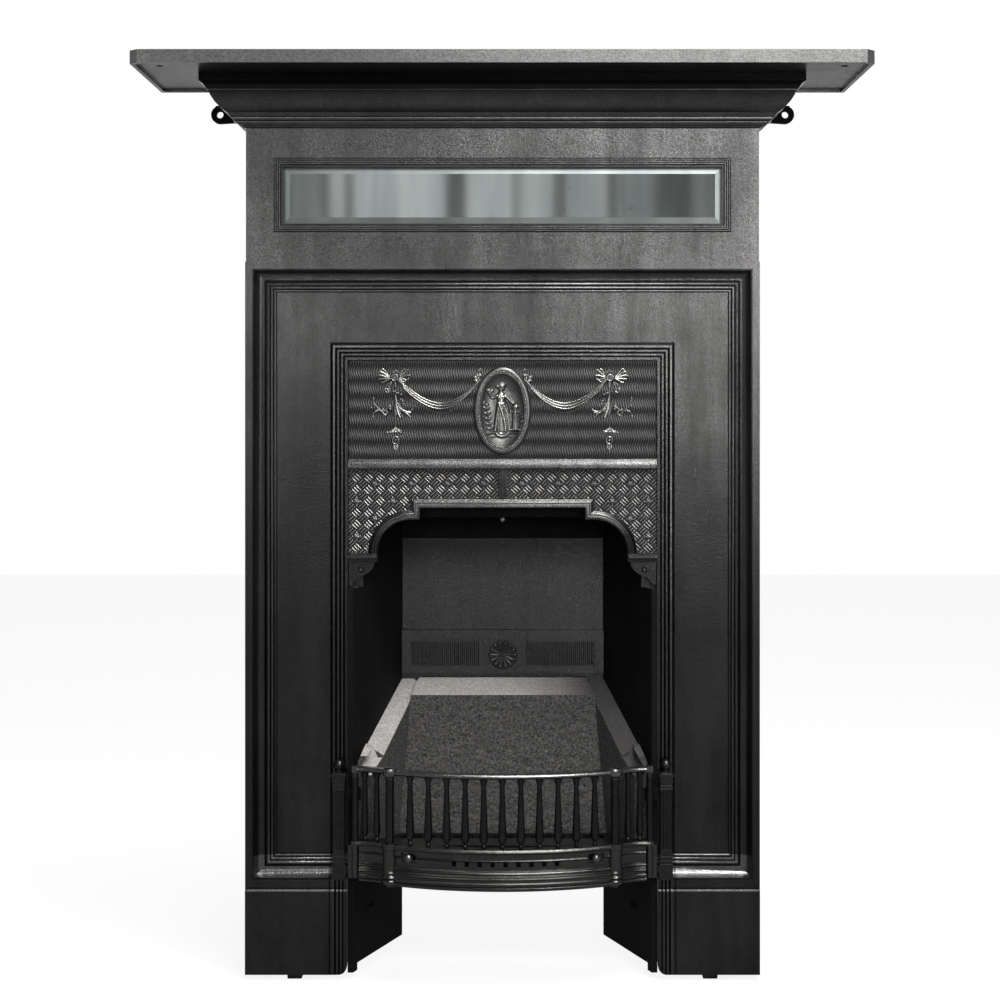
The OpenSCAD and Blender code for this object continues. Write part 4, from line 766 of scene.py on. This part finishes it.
def pendant(r):
    """Leaves, a ring and a husk on a cord, below the tail."""
    r.stroke(on_bow((422, 806), (426, 900), (430, 1000)), 0.8, 0.7, 2.0, curve=False)
    r.stroke(on_bow((432, 1000), (432, 1300)), 0.7, 0.7, 1.4)
    leaves(r, on_bow, ((428, 1000, 4, 11), (428, 1000, 178, 11.5), (428, 1000, 38, 7.5),
                       (428, 1000, 142, 7.5), (428, 1000, 90, 7), (480, 996, -30, 6), (370, 1000, 205, 5)),
           1.9, 3.0)
    balls(r, on_bow, ((428, 1006, 2.2), (404, 966, 1.4), (456, 962, 1.4), (510, 990, 1.7), (544, 1014, 1.4),
                      (314, 1014, 1.8)), 3.1)
    r.ring(*on_bow((430, 1124))[0], 4.1, 1.15, 3.1, 1.2)
    r.ball(*on_bow((430, 1124))[0], 1.7, 2.4, 3.0)
    leaves(r, on_bow, ((430, 1206, 20, 5.6), (430, 1206, 160, 5.6), (430, 1226, 0, 5.6),
                       (430, 1226, 180, 5.6), (430, 1230, 235, 5.6), (430, 1230, 305, 5.6)), 1.5, 2.7)
    r.ball(*on_bow((430, 1216))[0], 1.6, 1.4, 2.9)
    r.ball(*on_bow((428, 1284))[0], 1.4, 1.7, 2.6)


def inner_sprig(r):
    """Leaves and berries where the swag meets the medallion."""
    leaves(r, on_sprig, ((168, 240, 176, 9.5), (172, 268, 196, 9.5), (170, 284, 222, 6.5), (176, 232, 60, 6),
                         (176, 236, 110, 5)), 1.8, 3.0)
    r.stroke(on_sprig((176, 250), (192, 206), (180, 160)), 0.9, 0.8, 2.4)
    balls(r, on_sprig, ((196, 132, 2.2), (168, 146, 1.5), (208, 216, 1.9), (222, 150, 1.3), (176, 258, 1.9)),
          3.0)


def swags():
    """The ornament on the left, and its mirror image on the right."""
    r = Relief(-184, -26, 706, 834, 0.4, 0.4)
    festoon(r)
    r.fat = 1.22
    for part in (bow, tail, outer_sprigs, pendant, inner_sprig):
        part(r)
    keep = r.h > 0.02
    # high from the height: painted shade low down and painted highlight on the crests, in part dirt and
    # polish.
    high = np.clip(r.h / 2.8, 0, 1) ** 1.1
    r.build("swag_left", relief_iron, PLATE_Y - 0.1, keep, high)
    r.build("swag_right", relief_iron, PLATE_Y - 0.1, keep, high, flip=True)


def figure(r):
    """A draped woman, one arm up with a bowl and one on an urn, and the pedestal that the urn stands on."""
    # gown with its folds, then bodice and girdle
    r.stroke([(-2, 9), (-1.4, -8), (-0.5, -28)], 5.0, 10.0, 2.9, ridges=5)
    r.stroke([(-3.4, 7), (0.6, -7), (2.4, -16), (3.4, -28)], 2.6, 2.4, 4.2)
    r.stroke([(-4.4, 4), (-6.4, -10), (-8.2, -28)], 1.6, 1.9, 3.5)
    r.stroke([(-2.6, 2), (-2.8, -14), (-2.6, -28)], 1.3, 1.7, 3.6)
    r.stroke([(2.2, 6), (6.2, -8), (8.2, -27)], 1.5, 1.8, 3.4)
    r.stroke([(-1.6, 20.5), (-1.8, 9)], 5.0, 3.9, 3.7)
    r.stroke([(-5, 10.5), (-1.5, 8.6), (2.8, 10.6)], 1.0, 1.0, 4.2)
    r.ball(0.8, 17.6, 2.3, 2.4, 4.3)
    r.ball(-3.9, 17.4, 2.2, 2.3, 4.1)
    # neck, head with a bun and a band
    r.stroke([(-1.4, 27), (-1.5, 22.5)], 1.7, 2.2, 3.0)
    r.ball(-1.2, 31.2, 3.9, 5.0, 4.3)
    r.ball(-0.7, 33.0, 4.4, 3.9, 4.5)
    r.ball(-5.6, 32.8, 2.5, 2.4, 3.6)
    r.stroke([(-4.6, 35.2), (-1.0, 37.2), (2.8, 35.2)], 1.0, 0.9, 5.0)
    # raised arm with the bowl, lowered arm with its shawl
    r.stroke([(-6.0, 20), (-11.6, 17.0), (-14.2, 23.5)], 1.9, 1.3, 3.1)
    r.stroke([(-17.6, 27.2), (-14.4, 24.6), (-11.2, 27.2)], 1.2, 1.2, 2.8)
    r.ball(-14.4, 27.6, 3.6, 1.6, 2.6)
    r.stroke([(3.0, 20), (8.0, 14.2), (12.2, 9.6)], 1.9, 1.2, 3.1)
    r.stroke([(4.5, 14), (8.5, 4), (9.0, -12), (8.2, -24)], 1.3, 2.4, 2.1, ridges=3)
    # urn: body, lip, foot; pedestal: cap, shaft, base
    r.ball(14.2, 5.0, 3.8, 4.2, 3.0)
    r.stroke([(11.2, 9.8), (17.2, 9.8)], 0.9, 0.9, 2.6)
    r.stroke([(14.2, 1.0), (14.2, -1.2)], 1.4, 1.8, 2.2)
    r.stroke([(10.6, -2.6), (18.2, -2.6)], 1.1, 1.1, 2.7)
    r.stroke([(14.4, -4.0), (14.4, -24.5)], 3.1, 3.3, 2.3, ridges=3)
    r.stroke([(9.8, -26.2), (19.2, -26.2)], 1.4, 1.4, 2.7)


def plants(r):
    """A flower and its leaves on the left, a lower plant on the right, and the ground."""
    r.stroke([(-12, -30), (-15.5, -18), (-18.2, -4), (-20.2, 8)], 0.9, 0.5, 1.8)
    pairs = (-13.0, -26), (-14.6, -20), (-16.2, -13), (-17.2, -6), (-18.4, 1), (-19.6, 6)
    for i, (x, z) in enumerate(pairs):
        r.leaf(x, z, 150 - 6 * i, 6.4, 1.7, 2.1)
        r.leaf(x, z, 60 - 4 * i, 5.6, 1.6, 2.0)
    r.flower(-20.3, 9.6, 2.4, 5, 2.4)
    r.stroke([(20, -28), (22.0, -18), (22.6, -8)], 0.8, 0.5, 1.6)
    for x, z in ((20.6, -24), (21.8, -17), (22.4, -11)):
        for angle in (50, 130):
            r.leaf(x, z, angle, 4.6, 1.4, 1.8)
    r.stroke([(-20, -31.5), (-8, -30.2), (6, -30.6), (20, -30.4)], 1.6, 1.6, 1.1)
    r.stroke([(-13, -36.0), (-3, -34.8), (10, -35.8)], 1.4, 1.2, 0.7)


def medallion():
    """Beaded rim, hollow field and the figure, a design of its own."""
    widen, step = 1.2, 0.36                 # the figure is drawn narrow and widened
    r = Relief(-33 / widen, 33 / widen, -52, 52, step / widen, step)
    figure(r)
    plants(r)
    r.blur()

    # a fan of rings over the oval, from its middle out, finest in the rim
    half_x, half_z, turns = 39.4, 59.9, 720
    part = np.r_[0.01, np.linspace(0.02, 0.78, 74), np.linspace(0.785, 1.0, 62)][:, None]
    angle = np.linspace(0, 2 * math.pi, turns, endpoint=False)[None, :]
    edge_x, edge_z = half_x * np.cos(angle), half_z * np.sin(angle)
    x, z = part * edge_x, part * edge_z
    d = (1 - part) * np.hypot(edge_x, edge_z)       # mm inwards from the edge
    run = np.r_[0, np.cumsum(np.hypot(np.diff(edge_x[0]), np.diff(edge_z[0])))]
    bead_pitch = 3.2
    beads = round(run[-1] / bead_pitch)
    bead = np.abs(np.sin(math.pi * run / (run[-1] + run[1]) * beads))[None, :]

    # rounded flank, row of beads, lip, and the bowl with the figure in its field
    flank_end, row_end, lip_end, field = 5.6, 8.4, 10.0, 11
    flank = 2.4 + 4.5 * dome((5.0 - d) / 5.05)
    row = 5.7 + 2.0 * bead ** 0.6 * dome((d - 7.0) / 1.35)
    lip = 5.7 + 0.8 * dome((d - 9.2) / 0.8)
    bowl = 0.7 + 5.2 * (1 - np.clip((d - 9.6) / 19, 0, 1)) ** 1.6
    drawn_on = np.where(d > field, r.sample(x / widen, z) * 1.25, 0)
    h = np.select([d < flank_end, d < row_end, d < lip_end], [flank, row, lip], bowl) + drawn_on
    # Painted shade in the low parts, round the figure and in the bowl by the lip, and painted highlight on the
    # crests, in part dirt and polish.
    high = np.select([d < flank_end, d < lip_end, drawn_on > 0.1],
                     [0.6, np.clip((h - 5.6) / 1.6, 0, 1), np.clip(0.12 + 0.88 * drawn_on / 3.6, 0, 1)],
                     0.28 + 0.3 * np.clip((d - field) / 12, 0, 1))

    # the outermost ring again, let into the panel, closes the piece with a flat back
    rings, let_in = len(part), 3.9
    co = np.stack([x, PLATE_Y - h + WALL_Y, z + MEDALLION_Z], -1)
    back = co[-1:].copy()
    back[..., 1] = PLATE_Y + let_in + WALL_Y
    co = np.concatenate([co, back]).reshape(-1, 3) * MM
    ring, spoke = np.arange(rings)[:, None] * turns, np.arange(turns)[None, :]
    following = (spoke + 1) % turns
    quads = np.stack([ring + spoke, ring + following, ring + turns + following, ring + turns + spoke], -1)
    middle, flat_back = list(range(turns))[::-1], list(range(rings * turns, (rings + 1) * turns))
    mesh = bpy.data.meshes.new("medallion_relief")
    mesh.from_pydata(co.tolist(), [], quads.reshape(-1, 4)[:, ::-1].tolist() + [middle, flat_back])
    mesh.polygons.foreach_set("use_smooth", [True] * (len(mesh.polygons) - 1) + [False])
    set_high(mesh, np.r_[high.ravel(), high[-1]])
    mesh.validate()
    o = add_piece("medallion_relief", mesh, relief_iron)
    o.data.update()
    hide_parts("medallion")


swag_ground()
swags()
medallion()


# ---------------------------------------------------------------- fire bricks
def fractal(nx, nz, sizes, gain):
    """Smooth noise about 0 to 1 on a grid: bumps that are sizes grid steps wide, each size weaker by gain."""
    out = np.zeros((nx, nz))
    weight = 1.0
    total = 0.0
    for size in sizes:
        coarse = rng.random((int(nx / size) + 4, int(nz / size) + 4))
        xi, zi = np.arange(nx) / size, np.arange(nz) / size
        a = np.stack([np.interp(zi, np.arange(coarse.shape[1]), row) for row in coarse])
        out += weight * np.stack([np.interp(xi, np.arange(coarse.shape[0]), column) for column in a.T], 1)
        total += weight
        weight *= gain
    return out / total


def brick_face():
    """Rough, burnt face on the leaning back brick."""
    nx, ns = 230, 190
    low_y, low_z, low_half = -7.2, 169.5, 145.6
    high_y, high_z, high_half = 31.8, 366.0, 130.2
    out_y, out_z = -0.98, 0.19              # the leaning face's normal
    xs, ss = np.linspace(-1, 1, nx)[:, None], np.linspace(0, 1, ns)[None, :]
    lumps = fractal(nx, ns, (22, 9, 4, 2), 0.62)
    pits = np.clip(fractal(nx, ns, (5, 2.3), 0.7) - 0.58, 0, 1) * 9
    h = np.clip(0.5 + 3.4 * np.clip(lumps - 0.25, 0, 1) - pits, 0.1, 3)
    rise_x, rise_s = 14, 12                 # steepness of the face's rise from its edges
    edge = np.minimum(np.minimum((1 - np.abs(xs)) * rise_x, ss * rise_s), (1 - ss) * rise_s)
    h = h * np.clip(edge, 0, 1)
    X = xs * (low_half + (high_half - low_half) * ss)
    Y = low_y + (high_y - low_y) * ss + h * out_y + WALL_Y
    Z = low_z + (high_z - low_z) * ss + h * out_z
    co = np.stack([X, Y, Z], -1).reshape(-1, 3) * MM
    grid_piece("brick_rough_face", co, grid_quads(nx, ns), dark_clay)


def brick_copings():
    """Pale clay on the bevelled tops of the bricks: the faces that look up and lie over a height in mm."""
    for name, low in (("brick_back", 300), ("brick_left", 180), ("brick_right", 180)):
        mesh = NODES[name].data
        mesh.materials.append(coping)
        for p in mesh.polygons:
            if p.normal.z > 0.25 and p.center.z > low * MM:
                p.material_index = 1


brick_face()
brick_copings()


# ---------------------------------------------------------------- studio
def camera():
    """Level, square to the front, with its view shifted on to the fireplace."""
    data = bpy.data.cameras.new("camera")
    data.lens = 66.667
    data.sensor_width = 36.0
    data.shift_x = -0.008
    data.shift_y = -0.094
    o = bpy.data.objects.new("camera", data)
    o.location = (0.0075, -2.5125, 0.776)
    o.rotation_euler = (math.radians(90), 0, 0)
    SCENE.collection.objects.link(o)
    SCENE.camera = o


def lamp(name, place, target, wide, high, watts):
    data = bpy.data.lights.new(name, "AREA")
    data.shape = "RECTANGLE"
    data.size = wide
    data.size_y = high
    data.energy = watts
    o = bpy.data.objects.new(name, data)
    o.location = place
    o.rotation_euler = (Vector(target) - Vector(place)).to_track_quat("-Z", "Y").to_euler()
    SCENE.collection.objects.link(o)


AIM = (0.0, 0.0, 0.75)         # the middle of the fireplace, which the soft boxes face
BOX_AWAY = 2.3                 # metres from there
BOX_WIDE, BOX_HIGH = 0.7, 0.8
# Each soft box: degrees to the right and up, seen from AIM, and watts.
SOFT_BOXES = {"key": (27, 27, 8), "front": (8, 33, 15), "top": (0, 66, 6), "corner": (38, 60, 34),
              "high": (18, 78, 26), "right": (25, 7, 5.5), "left": (-25, 11, 4.5)}
# A window behind the camera, which only the mirror shows as such: each pane's X, width and watts.
PANES = ((-0.68, 0.12, 0.035), (-0.565, 0.05, 0.04), (-0.425, 0.17, 0.15), (-0.27, 0.14, 0.14),
         (-0.055, 0.16, 0.13), (0.1, 0.12, 0.085), (0.27, 0.14, 0.085), (0.435, 0.13, 0.05),
         (0.66, 0.08, 0.015))
PANE_Y, PANE_Z, PANE_HIGH = -3.7, 1.5, 0.7
MIRROR_Y, MIRROR_Z = -0.08, 1.05


def lamps():
    for name, (right, up, watts) in SOFT_BOXES.items():
        a, e = math.radians(right), math.radians(up)
        place = (AIM[0] + BOX_AWAY * math.sin(a) * math.cos(e), AIM[1] - BOX_AWAY * math.cos(a) * math.cos(e),
                 AIM[2] + BOX_AWAY * math.sin(e))
        lamp(name, place, AIM, BOX_WIDE, BOX_HIGH, watts)
    # a small one behind the camera, a little above it and to its right
    lamp("low", (0.3, -3.0, 1.08), (0.1, 0, 0.92), 0.5, 0.25, 4.5)
    for k, (x, wide, watts) in enumerate(PANES):
        lamp("pane_%d" % k, (x, PANE_Y, PANE_Z), (x, MIRROR_Y, MIRROR_Z), wide, PANE_HIGH, watts)


AMBIENT = 0.1                  # the world for diffuse rays
ROOM = 0.1                     # the room in front, for glossy rays
BACKDROP = 1.0                 # the white backdrop, for glossy rays and for the camera
FLOOR_GLOSS = 0.03             # the floor for glossy rays, besides what the lamps put on it
FLOOR_WHITE = 0.87             # the floor for the camera, besides the same
FLOOR_TONE = (0.2, 0.2, 0.2, 1)
FLOOR_HALF = 6


def studio_world():
    """White to the camera; for gloss the white backdrop is behind and a grey room in front."""
    world = bpy.data.worlds.new("studio")
    SCENE.world = world
    world.use_nodes = True
    tree = world.node_tree
    tree.nodes.clear()

    def node(kind):
        return tree.nodes.new("ShaderNode" + kind)

    def background(strength):
        b = node("Background")
        b.inputs["Color"].default_value = (1, 1, 1, 1)
        b.inputs["Strength"].default_value = strength
        return b.outputs[0]

    def mix(factor, a, b):
        m = node("MixShader")
        for socket, source in enumerate((factor, a, b)):
            tree.links.new(source, m.inputs[socket])
        return m.outputs[0]

    ray = node("LightPath").outputs
    split = node("SeparateXYZ")
    tree.links.new(node("TexCoord").outputs["Generated"], split.inputs[0])
    backwards = node("MapRange")
    for socket, v in enumerate((-0.1, 0.4, 0.0, 1.0), 1):     # the ray's Y from and to, onto 0 and 1
        backwards.inputs[socket].default_value = v
    tree.links.new(split.outputs["Y"], backwards.inputs[0])
    shiny = node("Math")
    shiny.operation = "MAXIMUM"
    tree.links.new(ray["Is Glossy Ray"], shiny.inputs[0])
    tree.links.new(ray["Is Transmission Ray"], shiny.inputs[1])
    gloss = mix(backwards.outputs[0], background(ROOM), background(BACKDROP))
    unseen = mix(shiny.outputs[0], background(AMBIENT), gloss)
    seen = mix(ray["Is Camera Ray"], unseen, background(BACKDROP))
    tree.links.new(seen, node("OutputWorld").inputs[0])


def floor():
    """Pale floor that takes the shadow and glows a little by itself."""
    bm = bmesh.new()
    bmesh.ops.create_grid(bm, x_segments=1, y_segments=1, size=FLOOR_HALF)
    mesh = bpy.data.meshes.new("floor")
    bm.to_mesh(mesh)
    bm.free()
    o = bpy.data.objects.new("floor", mesh)
    SCENE.collection.objects.link(o)
    material = bpy.data.materials.new("floor")
    material.use_nodes = True
    tree = material.node_tree
    bsdf = tree.nodes["Principled BSDF"]
    bsdf.inputs["Base Color"].default_value = FLOOR_TONE
    bsdf.inputs["Roughness"].default_value = 0.9
    surface = bsdf.outputs[0]
    path = tree.nodes.new("ShaderNodeLightPath")
    for ray, strength in (("Is Camera Ray", FLOOR_WHITE), ("Is Glossy Ray", FLOOR_GLOSS),
                          ("Is Transmission Ray", FLOOR_GLOSS)):
        glow = tree.nodes.new("ShaderNodeEmission")
        scale = tree.nodes.new("ShaderNodeMath")
        scale.operation = "MULTIPLY"
        scale.inputs[1].default_value = strength
        tree.links.new(path.outputs[ray], scale.inputs[0])
        tree.links.new(scale.outputs[0], glow.inputs["Strength"])
        both = tree.nodes.new("ShaderNodeAddShader")
        tree.links.new(surface, both.inputs[0])
        tree.links.new(glow.outputs[0], both.inputs[1])
        surface = both.outputs[0]
    tree.links.new(surface, tree.nodes["Material Output"].inputs[0])
    mesh.materials.append(material)


camera()
lamps()
studio_world()
floor()
